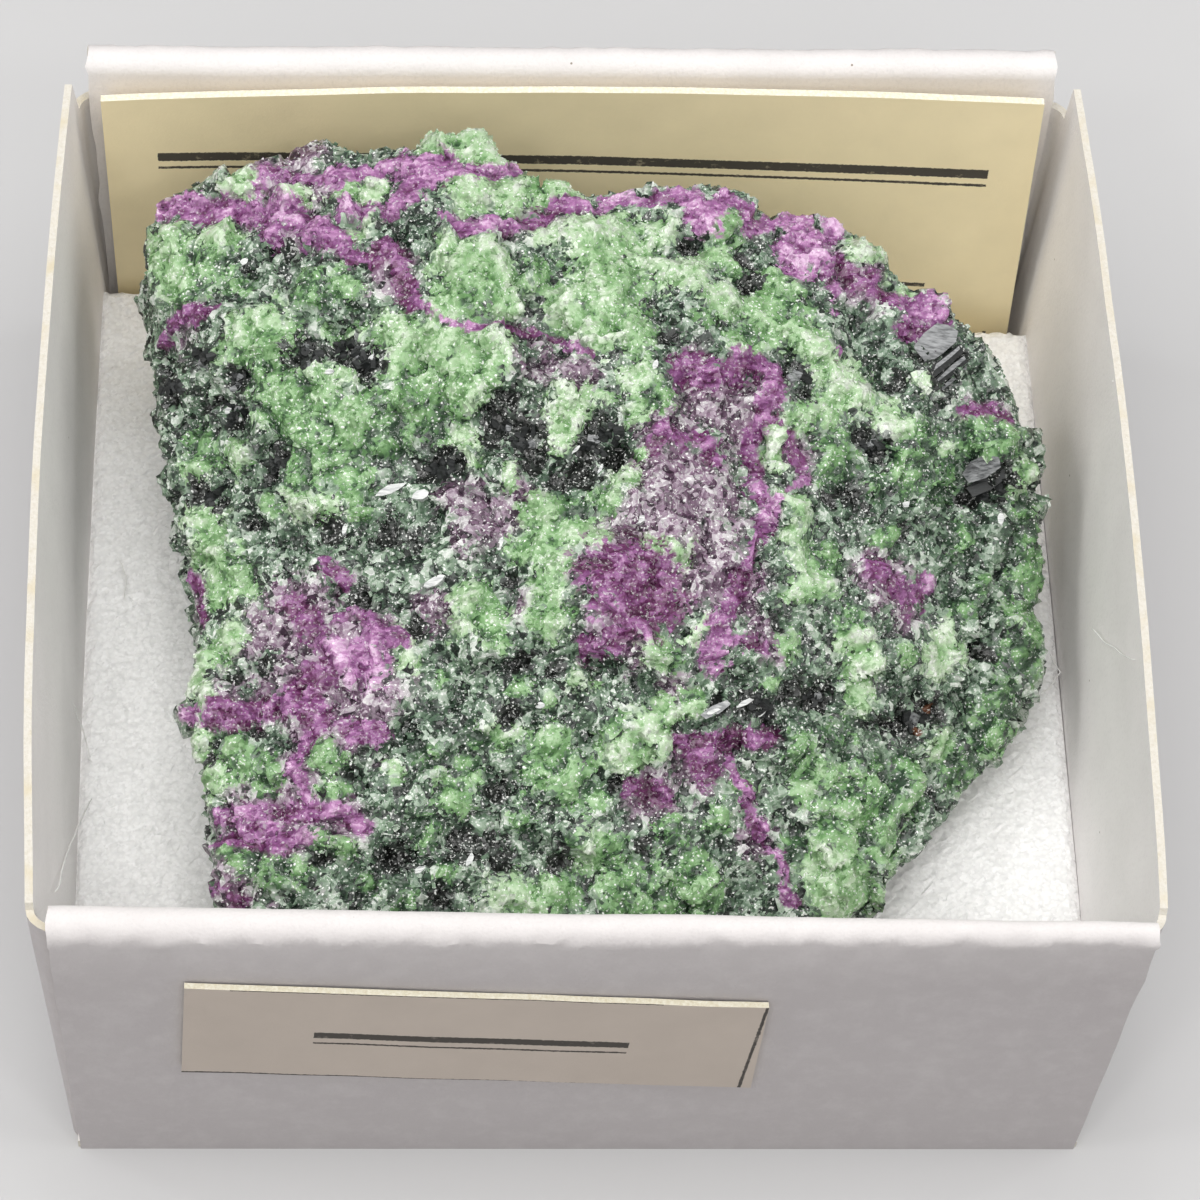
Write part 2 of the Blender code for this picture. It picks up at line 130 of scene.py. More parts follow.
class Nodes:
    """A small helper that builds one procedural material."""

    def __init__(self, name):
        self.material = bpy.data.materials.new(name)
        self.material.use_nodes = True
        self.tree = self.material.node_tree
        self.shader = self.tree.nodes["Principled BSDF"]

    def new(self, kind, inputs=None, **values):
        """A node with these settings, and with values or links in these inputs."""
        node = self.tree.nodes.new(kind)
        for key, value in values.items():
            setattr(node, key, value)
        for key, value in (inputs or {}).items():
            self.feed(node.inputs[key], value)
        return node

    def feed(self, socket, value):
        """Links an output into a socket, or sets the socket to a plain value."""
        if isinstance(value, bpy.types.NodeSocket):
            self.tree.links.new(value, socket)
        elif isinstance(value, (tuple, list)) and len(value) == 3 and socket.type == "RGBA":
            socket.default_value = (*value, 1.0)
        else:
            socket.default_value = value

    def where(self, scale=1.0 / MM):
        """Object coordinates, in millimetres by default."""
        return self.vector("SCALE", self.new("ShaderNodeTexCoord").outputs["Object"], scale)

    def vector(self, operation, a, b):
        second = "Scale" if operation == "SCALE" else 1
        return self.new("ShaderNodeVectorMath", {0: a, second: b}, operation=operation).outputs[0]

    def math(self, operation, a, b=0.0, clamp=False):
        return self.new("ShaderNodeMath", {0: a, 1: b}, operation=operation, use_clamp=clamp).outputs[0]

    def add(self, a, b, clamp=False):
        return self.math("ADD", a, b, clamp)

    def times(self, a, b):
        return self.math("MULTIPLY", a, b)

    def noise(self, place, scale, detail=2.0, roughness=0.5, output="Fac"):
        inputs = {"Vector": place, "Scale": scale, "Detail": detail, "Roughness": roughness}
        return self.new("ShaderNodeTexNoise", inputs).outputs[output]

    def cells(self, place, scale):
        """The Color of a Voronoi node. Its Distance is on the same node."""
        return self.new("ShaderNodeTexVoronoi", {"Vector": place, "Scale": scale}).outputs["Color"]

    def channel(self, colour, which="Red"):
        return self.new("ShaderNodeSeparateColor", {0: colour}).outputs[which]

    def attribute(self, name):
        return self.new("ShaderNodeAttribute", attribute_name=name).outputs["Fac"]

    def ramp(self, value, *stops):
        """A colour ramp. Each stop is its position and its colour."""
        node = self.new("ShaderNodeValToRGB", {"Fac": value})
        elements = node.color_ramp.elements
        while len(elements) < len(stops):
            elements.new(1.0)
        for element, (at, *colour) in zip(elements, stops):
            element.position = at
            element.color = (*colour, 1.0)
        return node.outputs["Color"]

    def span(self, value, low, high, to_low=0.0, to_high=1.0, interpolation="LINEAR"):
        """Maps the range from low to high onto another one."""
        inputs = {"Value": value, "From Min": low, "From Max": high, "To Min": to_low, "To Max": to_high}
        return self.new("ShaderNodeMapRange", inputs, interpolation_type=interpolation).outputs["Result"]

    def step(self, value, low, high):
        """0 below low, 1 above high, smooth between."""
        return self.span(value, low, high, interpolation="SMOOTHSTEP")

    def mix(self, share, a, b):
        inputs = {"Factor": share, "A": a, "B": b}
        return self.new("ShaderNodeMix", inputs, data_type="RGBA").outputs["Result"]

    def bump(self, height, strength, distance, normal=None):
        inputs = {"Height": height, "Strength": strength, "Distance": distance * MM}
        if normal is not None:
            inputs["Normal"] = normal
        return self.new("ShaderNodeBump", inputs).outputs["Normal"]

    def tilted(self, *tilts):
        """The surface's own direction, turned by the colours of cells so that each cell has a face."""
        lean = None
        for cell, share in tilts:
            one = self.vector("SCALE", self.vector("SUBTRACT", cell, (0.5, 0.5, 0.5)), share)
            lean = one if lean is None else self.vector("ADD", lean, one)
        total = self.vector("ADD", self.new("ShaderNodeNewGeometry").outputs["Normal"], lean)
        return self.vector("NORMALIZE", total, (0.0, 0.0, 0.0))

    def surface(self, colour, roughness=0.5, normal=None, **values):
        self.feed(self.shader.inputs["Base Color"], colour)
        self.feed(self.shader.inputs["Roughness"], roughness)
        if normal is not None:
            self.feed(self.shader.inputs["Normal"], normal)
        for key, value in values.items():
            self.feed(self.shader.inputs[key.replace("_", " ")], value)


# ------------------------------------------------------------------ meshes


def ripple(x, y, z):
    """Smooth noise from -1 to 1 at one place."""
    return noise.noise(Vector((x, y, z)))


def noise_at(points, frequency, seed):
    """Smooth noise from -1 to 1 at each point."""
    shift = Vector((seed * 3.1, seed * 7.7, seed * 5.3))
    return np.array([noise.noise(Vector(p) * frequency + shift) for p in points])


def noise_vectors(points, frequency, seed):
    """Three noises as one vector. noise.noise_vector isn't used, because it differs from run to run."""
    return np.stack([noise_at(points, frequency, seed + 20.0 + 3.3 * axis) for axis in range(3)], axis=1)


def new_piece(name, points, faces, materials, smooth=False, indices=None):
    """A mesh object from points in millimetres, riding on the root body."""
    mesh = bpy.data.meshes.new(name)
    points = np.asarray(points, float) * MM
    faces = np.asarray(faces, int)
    mesh.vertices.add(len(points))
    mesh.vertices.foreach_set("co", points.ravel())
    corners = faces.shape[1]
    mesh.loops.add(faces.size)
    mesh.loops.foreach_set("vertex_index", faces.ravel())
    mesh.polygons.add(len(faces))
    mesh.polygons.foreach_set("loop_start", np.arange(0, faces.size, corners))
    mesh.update(calc_edges=True)
    mesh.validate()
    for material in materials:
        mesh.materials.append(material)
    if indices is not None:
        mesh.polygons.foreach_set("material_index", np.asarray(indices, int))
    mesh.polygons.foreach_set("use_smooth", np.full(len(mesh.polygons), smooth))
    piece = bpy.data.objects.new(name, mesh)
    bpy.context.scene.collection.objects.link(piece)
    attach(piece, "root")
    return piece


def add_attribute(piece, name, values):
    layer = piece.data.attributes.new(name, "FLOAT", "POINT")
    layer.data.foreach_set("value", np.asarray(values, np.float32))


def grid_faces(rows, columns):
    """Quads of a grid of rows by columns of points, numbered row by row."""
    faces = []
    for row in range(rows - 1):
        for here in range(row * columns, row * columns + columns - 1):
            faces.append((here, here + 1, here + columns + 1, here + columns))
    return faces


# ------------------------------------------------------------------ tray

CARD = 0.5
TRAY_HALF_WIDTH = 20.0
TRAY_HALF_DEPTH = 20.5
SIDE_FACE = 20.35
FOLDED_HEIGHT = {"front": (19.0, 19.0), "back": (19.0, 19.3)}
FOLDED_THICKNESS = {"front": (1.6, 0.95), "back": (1.4, 1.4)}
FOLDED_LEAN = {"front": (0.4, 0.4), "back": (0.35, 0.65)}
FOLDED_REACH = {"front": (20.4, 20.4), "back": (20.45, 19.85)}
SIDE_HEIGHT = 18.6
SIDE_LEAN = {"left": 0.85, "right": 0.5}
SIDE_BOW = {"left": 0.6, "right": 0.5}
CORNER_RADIUS = 0.9
TAB_LENGTH = 4.0
TAB_START = {("left", "back"): 18.7, ("right", "back"): 19.3, "front": 19.3}
TAB_HEIGHT = {"front": 18.3, "back": 16.4}
SKIN, CUT = 0, 1  # material numbers of a sheet of card
LAYER = 0.42  # one of the two layers of a folded wall
WALL_COLUMNS = 161
SHARP = math.radians(35)  # an edge over this angle stays sharp
# The outside colour is a greyer white than the inside: painted shade on the outer faces of the walls and
# under the floor.
CARD_OUTSIDE_PAINTED_SHADE = (0.465, 0.435, 0.44)
CARD_INSIDE = (0.93, 0.90, 0.89)
FLECKS = 0.10  # the share of places that have a speck


def between(ends, along):
    """The value at a share of the way between two ends."""
    return ends[0] + (ends[1] - ends[0]) * along


class Shell:
    """Collects the points and faces of several closed sheets of card."""

    def __init__(self):
        self.points, self.faces, self.looks, self.unshaded_share = [], [], [], []

    def sheet(self, outer, inner, unshaded_share=(0.0, 1.0)):
        """A closed sheet between two grids of points, with a skin on its broad sides and cut edges.

        The last argument says how much of the inside colour the two grids show, as numbers or one per column;
        the rest shows the greyer outside colour, which is painted shade."""
        outer, inner = np.array(outer), np.array(inner)
        for amount in unshaded_share:
            self.unshaded_share += np.broadcast_to(amount, outer.shape[:2]).ravel().tolist()
        rows, columns = outer.shape[:2]
        numbers = len(self.points) + np.arange(2 * rows * columns)
        self.points += outer.reshape(-1, 3).tolist() + inner.reshape(-1, 3).tolist()
        front, rear = numbers.reshape(2, rows, columns).tolist()
        for row in range(rows - 1):
            for column in range(columns - 1):
                for grid, turned in ((front, False), (rear, True)):
                    a, b = grid[row][column : column + 2]
                    d, c = grid[row + 1][column : column + 2]
                    self.add((a, d, c, b) if turned else (a, b, c, d), SKIN)
        for column in range(columns - 1):
            for row, turned in ((0, True), (rows - 1, False)):
                a, b = front[row][column : column + 2]
                d, c = rear[row][column : column + 2]
                self.add((d, c, b, a) if turned else (a, b, c, d), CUT)
        for row in range(rows - 1):
            for column, turned in ((0, False), (columns - 1, True)):
                a, b = front[row][column], front[row + 1][column]
                d, c = rear[row][column], rear[row + 1][column]
                self.add((d, c, b, a) if turned else (a, b, c, d), CUT)

    def add(self, quad, look):
        self.faces.append(quad)
        self.looks.append(look)


def fold_line(height, thickness):
    """Section of a folded wall, from its outer foot to its inner one.

    Each point is its inward distance, its height and the way outward."""
    radius = thickness / 2
    straight = height - radius
    line = [(0.0, z, (-1.0, 0.0)) for z in (*np.linspace(0.0, straight - 0.35, 15), straight)]
    for step in range(1, 10):
        angle = math.pi * step / 10
        out = (-math.cos(angle), math.sin(angle))
        line.append((radius + radius * out[0], straight + radius * out[1], out))
    line += [(thickness, z, (1.0, 0.0)) for z in np.linspace(straight, CARD + 0.1, 16)]
    return line


def folded_wall(shell, which):
    """The front or back wall: one card folded over at the top, with its two layers showing at the ends."""
    side = 1 if which == "back" else -1
    outer, inner = [], []
    for along in np.linspace(0.0, 1.0, WALL_COLUMNS):
        height = between(FOLDED_HEIGHT[which], along)
        thickness = between(FOLDED_THICKNESS[which], along)
        lean = between(FOLDED_LEAN[which], along)
        reach = between((-FOLDED_REACH[which][0], FOLDED_REACH[which][1]), along)
        foot_reach = between((-TRAY_HALF_WIDTH, TRAY_HALF_WIDTH), along)
        layer = min(LAYER, thickness / 2 - 0.03)
        outer_row, inner_row = [], []
        for inward, z, (out_in, out_up) in fold_line(height, thickness):
            up = z / height
            x = between((foot_reach, reach), up)
            end = max(0.0, abs(2 * along - 1) - 0.985) / 0.015
            x += end * 0.12 * ripple(z * 2.6, side * 3.0, along * 2 + inward)
            wave = 0.05 * ripple(x * 0.16, z * 0.2, side * 5.0) * up
            sag = 0.10 * ripple(x * 0.3, side * 2.0, 3.3)
            sag += 0.05 * ripple(x * 1.1, side * 2.0, 7.1)
            sag *= max(0.0, up - 0.8) * 5.0
            if out_in < 0.0 and z > height - thickness / 2 - 0.01:
                crinkle = 0.11 * ripple(x * 1.1, z * 1.5, side * 3.1)
                crinkle += 0.08 * ripple(x * 3.1, z * 3.0, side * 8.3)
                wave -= side * crinkle * out_in
            for row, depth in ((outer_row, 0.0), (inner_row, layer)):
                y = side * (TRAY_HALF_DEPTH + lean * up - inward + out_in * depth + wave)
                row.append((x, y, z - out_up * depth + sag * min(1.0, up)))
        outer.append(outer_row)
        inner.append(inner_row)
    # Across the fold the colour goes over from the outside's painted shade to the inside colour.
    across = np.concatenate([np.zeros(12), np.linspace(0.0, 1.0, 14), np.ones(15)])
    shell.sheet(outer, inner, (across, across))


def half_path(tab_start, tab_height):
    """Half a side wall's course, from its middle round the corner onto its tab.

    Each point is its x and y, the way outward and how high the card stands there."""
    tab_y = TRAY_HALF_DEPTH - 0.4
    radius = tab_y - max(tab_start + 0.15, tab_y - CORNER_RADIUS)
    corner_x, corner_y = SIDE_FACE - radius, tab_y - radius
    half = [((SIDE_FACE, y), (1.0, 0.0), SIDE_HEIGHT) for y in np.linspace(0.0, tab_start, 40)]
    for step in range(7):
        angle = 0.5 * math.pi * step / 6
        out = (math.cos(angle), math.sin(angle))
        half.append(((corner_x + radius * out[0], corner_y + radius * out[1]), out, tab_height))
    half.append(((SIDE_FACE - CORNER_RADIUS - TAB_LENGTH, tab_y), (0.0, 1.0), tab_height))
    return half


def side_wall(shell, which):
    """A side wall of single card with a bare cut edge on top."""
    side = 1 if which == "right" else -1
    back = half_path(TAB_START[(which, "back")], TAB_HEIGHT["back"])
    front = half_path(TAB_START["front"], TAB_HEIGHT["front"])
    path = [((x, -y), (a, -b), top) for (x, y), (a, b), top in reversed(front[1:])] + back
    outer, inner = [], []
    for (x, y), (out_x, out_y), top in path:
        bulge = SIDE_BOW[which] * (1.0 - (y / TRAY_HALF_DEPTH) ** 2)
        outer_row, inner_row = [], []
        ragged = 0.05 * ripple(y * 2.1, side * 4.0, 0.0)
        ragged += 0.05 * ripple(y * 0.5, side * 9.0, 0.0)
        for z in np.linspace(0.0, top, 22):
            up = z / SIDE_HEIGHT
            wave = 0.06 * ripple(y * 0.14, z * 0.2, side * 7.0) * up
            lift = ragged * (1.0 if z == top else 0.0)
            for row, depth in ((outer_row, 0.0), (inner_row, CARD - 0.2 * up)):
                across = x + out_x * ((SIDE_LEAN[which] + bulge) * up + wave - depth)
                along = y + out_y * (0.35 * up - depth)
                row.append((side * across, along, z + lift))
        outer.append(outer_row[::-side])
        inner.append(inner_row[::-side])
    shell.sheet(outer, inner)


def tray_floor(shell):
    """The flat bottom of the tray."""
    xs = np.linspace(-TRAY_HALF_WIDTH - 0.1, TRAY_HALF_WIDTH + 0.1, 24)
    ys = np.linspace(-TRAY_HALF_DEPTH + 0.1, TRAY_HALF_DEPTH - 0.1, 24)
    under = [[(x, y, 0.0) for y in ys] for x in xs]
    top = [[(x, y, CARD) for y in ys] for x in xs]
    shell.sheet(under, top)


def card_material():
    """Smooth coated card: faint fibres, a little mottling and a few specks, with its outside given a greyer
    white as painted shade.
    """
    nodes = Nodes("white_card")
    place = nodes.where()
    mottle = nodes.noise(place, 0.35, 3.0)
    # The outside of the card gets the greyer colour: painted shade.
    shade = nodes.mix(nodes.attribute("unshaded_share"), CARD_OUTSIDE_PAINTED_SHADE, CARD_INSIDE)
    colour = nodes.mix(nodes.span(mottle, 0.25, 0.75, 0.16, 0.0), shade, (0.55, 0.53, 0.52))
    fibre = nodes.noise(nodes.vector("MULTIPLY", place, (1.5, 1.5, 0.8)), 5.0, 4.0, 0.65)
    rubbed = nodes.noise(place, 0.9, 5.0, 0.7)
    colour = nodes.mix(nodes.span(rubbed, 0.45, 0.75, 0.0, 0.10), colour, (0.95, 0.93, 0.92))
    colour = nodes.mix(nodes.span(fibre, 0.30, 0.50, 0.10, 0.0), colour, (0.35, 0.33, 0.33))
    speck = nodes.cells(place, 0.9)
    near, which = speck.node.outputs["Distance"], nodes.channel(speck, "Green")
    is_speck = nodes.times(nodes.step(near, 0.055, 0.03), nodes.step(which, 1.0 - FLECKS, 1.01 - FLECKS))
    colour = nodes.mix(is_speck, colour, (0.30, 0.26, 0.21))
    normal = nodes.bump(fibre, 0.55, 0.05)
    roughness = nodes.span(fibre, 0.3, 0.7, 0.62, 0.8)
    nodes.surface(colour, roughness, normal, Specular_IOR_Level=0.35)
    return nodes.material


def cut_material():
    """The bare cut edge of the card: cream, fibrous."""
    nodes = Nodes("cut_card")
    place = nodes.where()
    fibre = nodes.noise(place, 7.0, 4.0, 0.7)
    stain = nodes.noise(place, 0.8, 2.0)
    colour = nodes.ramp(fibre, (0.25, 0.60, 0.56, 0.47), (0.6, 0.70, 0.67, 0.61))
    colour = nodes.mix(nodes.step(stain, 0.45, 0.8), colour, (0.64, 0.57, 0.42))
    nodes.surface(colour, 0.9, nodes.bump(fibre, 0.5, 0.06))
    return nodes.material


def make_tray():
    """The tray: two folded walls, two single ones and the floor."""
    shell = Shell()
    folded_wall(shell, "front")
    folded_wall(shell, "back")
    side_wall(shell, "left")
    side_wall(shell, "right")
    tray_floor(shell)
    looks = [card_material(), cut_material()]
    tray = new_piece("card_tray", shell.points, shell.faces, looks, True, shell.looks)
    add_attribute(tray, "unshaded_share", shell.unshaded_share)
    tray.data.set_sharp_from_angle(angle=SHARP)
    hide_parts("tray")


# ------------------------------------------------------------------ foam pad

PAD_TOP = 5.8
PAD_REACH = (20.36, 20.14)  # its left and right edges at the top
PAD_TAPER = 0.5
PAD_FRONT = -18.75
PAD_BACK = (17.75, 16.05)
PAD_DEPTH = 36.0  # roughly, for softening its front and back edges
PAD_STEP = 0.24
PAD_LEVELS = (4.6, 3.4, 2.2)  # rows of points down its sides


def foam_material():
    """White closed-cell foam: small cells, paler in their middles and darker towards their edges as painted
    shade, with painted glints where their walls would catch the light.
    """
    nodes = Nodes("foam")
    place = nodes.where()
    cell = nodes.cells(place, 4.6)
    near = cell.node.outputs["Distance"]
    fine = nodes.cells(place, 8.0)
    # Each cell is painted paler in its middle and darker towards its edge: painted shade between the cells.
    colour = nodes.ramp(near, (0.10, 0.99, 0.99, 0.985), (0.75, 0.87, 0.87, 0.87))
    # White dots on some fine cells: painted glints.
    glint = nodes.step(nodes.channel(fine, "Red"), 0.72, 0.78)
    colour = nodes.mix(glint, colour, (1.0, 1.0, 1.0))
    normal = nodes.bump(near, 0.3, 0.05, nodes.tilted((cell, 0.16)))
    roughness = nodes.span(nodes.channel(fine, "Green"), 0.0, 1.0, 0.2, 0.7)
    nodes.surface(colour, roughness, normal)
    return nodes.material


def make_pad():
    """A block whose top is a fine grid with cell-sized unevenness and softened edges."""
    columns = int((PAD_REACH[0] + PAD_REACH[1]) / PAD_STEP)
    rows = int((PAD_BACK[0] - PAD_FRONT) / PAD_STEP)
    random = np.random.default_rng(11)
    points = []
    for row in range(rows + 1):
        along = row / rows
        for share in np.linspace(0.0, 1.0, columns + 1):
            x = between((-PAD_REACH[0], PAD_REACH[1]), share)
            y = PAD_FRONT + (between(PAD_BACK, share) - PAD_FRONT) * along
            near_end = min(along, 1 - along) * PAD_DEPTH
            edge = min(x + PAD_REACH[0], PAD_REACH[1] - x, near_end)
            round_off = 0.35 * max(0.0, 1.0 - edge / 0.5) ** 2
            points.append((x, y, PAD_TOP - round_off))
    points = np.array(points)
    inside = (points[:, 0] > 0.1 - PAD_REACH[0]) & (points[:, 0] < PAD_REACH[1] - 0.1)
    jitter = random.normal(0.0, 1.0, points.shape) * (0.05, 0.05, 0.02)
    points += jitter * inside[:, None]
    points[:, 2] = np.minimum(points[:, 2], PAD_TOP + 0.04)
    faces = grid_faces(rows + 1, columns + 1)
    # The sides and the underside.
    border = [*range(columns + 1)]
    border += [row * (columns + 1) + columns for row in range(1, rows + 1)]
    border += [rows * (columns + 1) + column for column in range(columns - 1, -1, -1)]
    border += [row * (columns + 1) for row in range(rows - 1, 0, -1)]
    rims = [border]
    all_points = points.tolist()
    bottom = CARD + 0.02
    for level in (*PAD_LEVELS, bottom):
        down = (PAD_TOP - level) / (PAD_TOP - bottom)
        ring = []
        for index in border:
            x, y, _ = points[index]
            shrink = 1.0 - down * PAD_TAPER / TRAY_HALF_WIDTH
            ring.append(len(all_points))
            all_points.append((x * shrink, y, level))
        rims.append(ring)
    for upper, lower in zip(rims, rims[1:]):
        for i, a in enumerate(upper):
            j = (i + 1) % len(upper)
            faces.append((a, lower[i], lower[j], upper[j]))
    centre = len(all_points)
    all_points.append((0.0, 0.0, bottom))
    last = rims[-1]
    for i in range(0, len(last), 2):
        j, k = (i + 1) % len(last), (i + 2) % len(last)
        faces.append((last[i], centre, last[k], last[j]))
    pad = new_piece("foam", all_points, faces, [foam_material()])
    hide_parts("foam_pad")


# ------------------------------------------------------------------ cards

INK_BLUR = 0.03
INK = (0.05, 0.045, 0.04)


def paper_material(name, shade, lines):
    """Cream paper with printed lines. lines are (low, high, left, right) in the card's own coordinates."""
    nodes = Nodes(name)
    place = nodes.where()
    mottle = nodes.noise(place, 0.5, 3.0)
    fibre = nodes.noise(place, 6.0, 4.0, 0.6)
    colour = nodes.ramp(mottle, (0.3, *(c * 0.95 for c in shade)), (0.7, *shade))
    across, up = nodes.attribute("across"), nodes.attribute("up")
    wobble = nodes.times(nodes.math("SUBTRACT", fibre, 0.5), 0.12)
    ink = None
    for low, high, left, right in lines:
        mark = None
        for axis, start, end in ((up, low, high), (across, left, right)):
            wavy = nodes.add(axis, wobble)
            begun, ended = nodes.step(wavy, start - INK_BLUR, start), nodes.step(wavy, end + INK_BLUR, end)
            band = nodes.times(begun, ended)
            mark = band if mark is None else nodes.times(mark, band)
        ink = mark if ink is None else nodes.math("MAXIMUM", ink, mark)
    worn = nodes.noise(place, 1.7, 3.0, 0.7)
    ink = nodes.times(ink, nodes.span(worn, 0.26, 0.42, 0.62, 0.97))
    colour = nodes.mix(ink, colour, INK)
    nodes.surface(colour, 0.78, nodes.bump(fibre, 0.3, 0.04), Specular_IOR_Level=0.3)
    return nodes.material


def paper_piece(name, face_at, columns, rows, thickness, look, node):
    """A thin card. face_at takes two shares of the way across and up.

    It gives a point of the card's front face and that point's place in the card's own coordinates."""
    grid = [[face_at(u, v) for v in np.linspace(0.0, 1.0, rows)] for u in np.linspace(0.0, 1.0, columns)]
    front = np.array([[point for point, _ in line] for line in grid])
    shell = Shell()
    shell.sheet(front, front + (0.0, thickness, 0.0))
    looks = [look, cut_paper_material(name)]
    piece = new_piece(name, shell.points, shell.faces, looks, True, shell.looks)
    places = np.array([place for line in grid for _, place in line] * 2)
    add_attribute(piece, "across", places[:, 0])
    add_attribute(piece, "up", places[:, 1])
    piece.data.set_sharp_from_angle(angle=SHARP)
    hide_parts(node)


def cut_paper_material(name):
    """The cut edge of a paper card."""
    nodes = Nodes(name + "_edge")
    fibre = nodes.noise(nodes.where(), 7.0, 3.0, 0.7)
    colour = nodes.ramp(fibre, (0.3, 0.72, 0.66, 0.48), (0.7, 0.90, 0.87, 0.74))
    nodes.surface(colour, 0.85, nodes.bump(fibre, 0.5, 0.05))
    return nodes.material


NAME_CARD_HALF_WIDTH = 19.55
NAME_CARD_FOOT = (18.15, 16.45)
NAME_CARD_HEAD = (18.25, 18.35)
NAME_CARD_TOP = (18.1, 18.7)


def name_card_at(u, v):
    """A point of the name card, which leans on the back wall and bows a little."""
    bottom = CARD + 0.05
    arch = 1.0 - (2.0 * u - 1.0) ** 2
    x = NAME_CARD_HALF_WIDTH * (2.0 * u - 1.0) - 0.3 * v
    top = between(NAME_CARD_TOP, u) + 0.25 * arch
    y = between((between(NAME_CARD_FOOT, u), between(NAME_CARD_HEAD, u)), v) + 0.35 * arch
    y += 0.05 * ripple(x * 0.2, v * 3.0, 1.0)
    z = bottom + (top - bottom) * v
    return (x, y, z), (x, (top - bottom) * v)


def make_name_card():
    """The name card, with generic lines where the photographed one has print."""
    lines = [
        (13.6, 14.1, -17.6, 17.4),
        (13.1, 13.22, -17.6, 17.4),
        (9.6, 9.8, -12.0, 12.0),
        (6.6, 6.8, -15.5, 15.5),
        (2.2, 3.9, 18.4, 18.52),
    ]
    look = paper_material("name_card_paper", (1.0, 0.865, 0.56), lines)
    paper_piece("cream_name_card", name_card_at, 60, 24, 0.33, look, "name_card")


LABEL_SIZE = (21.7, 7.35)
LABEL_CENTRE = (-4.7, 10.9)
LABEL_TURN = math.radians(-4.0)


def label_at(u, v):
    """A point of the label, which is stuck on crookedly and isn't quite square."""
    x, z = (u - 0.5) * LABEL_SIZE[0], (v - 0.5) * LABEL_SIZE[1]
    x += -0.22 * (1 - u) * v + 0.42 * u * (1 - v)
    z += 0.16 * u * (1 - v)
    turned_x = LABEL_CENTRE[0] + x * math.cos(LABEL_TURN) - z * math.sin(LABEL_TURN)
    turned_z = LABEL_CENTRE[1] + x * math.sin(LABEL_TURN) + z * math.cos(LABEL_TURN)
    y = -(TRAY_HALF_DEPTH + 0.4 * turned_z / 19.0) - 0.3
    y -= 0.04 * ripple(x * 0.3, z * 0.3, 8.0)
    return (turned_x, y, turned_z), (x, z)


def make_label():
    """The label, with generic lines and a darker line along three of its edges."""
    half_x, half_z = LABEL_SIZE[0] / 2, LABEL_SIZE[1] / 2
    lines = [
        (-0.25, 0.2, -6.0, 6.0),
        (-0.75, -0.65, -6.0, 6.0),
        (-half_z, -half_z + 0.1, -half_x, half_x),
        (half_z - 0.05, half_z, -half_x + 1.5, half_x - 4.0),
        (-half_z, half_z, half_x - 0.1, half_x),
    ]
    # The label's paper is given a darker colour than cream: painted shade, as on the outside of the card.
    look = paper_material("label_paper", (0.515, 0.45, 0.395), lines)
    paper_piece("paper_label", label_at, 40, 14, 0.24, look, "front_label")


# ------------------------------------------------------------------ stone: where each mineral lies

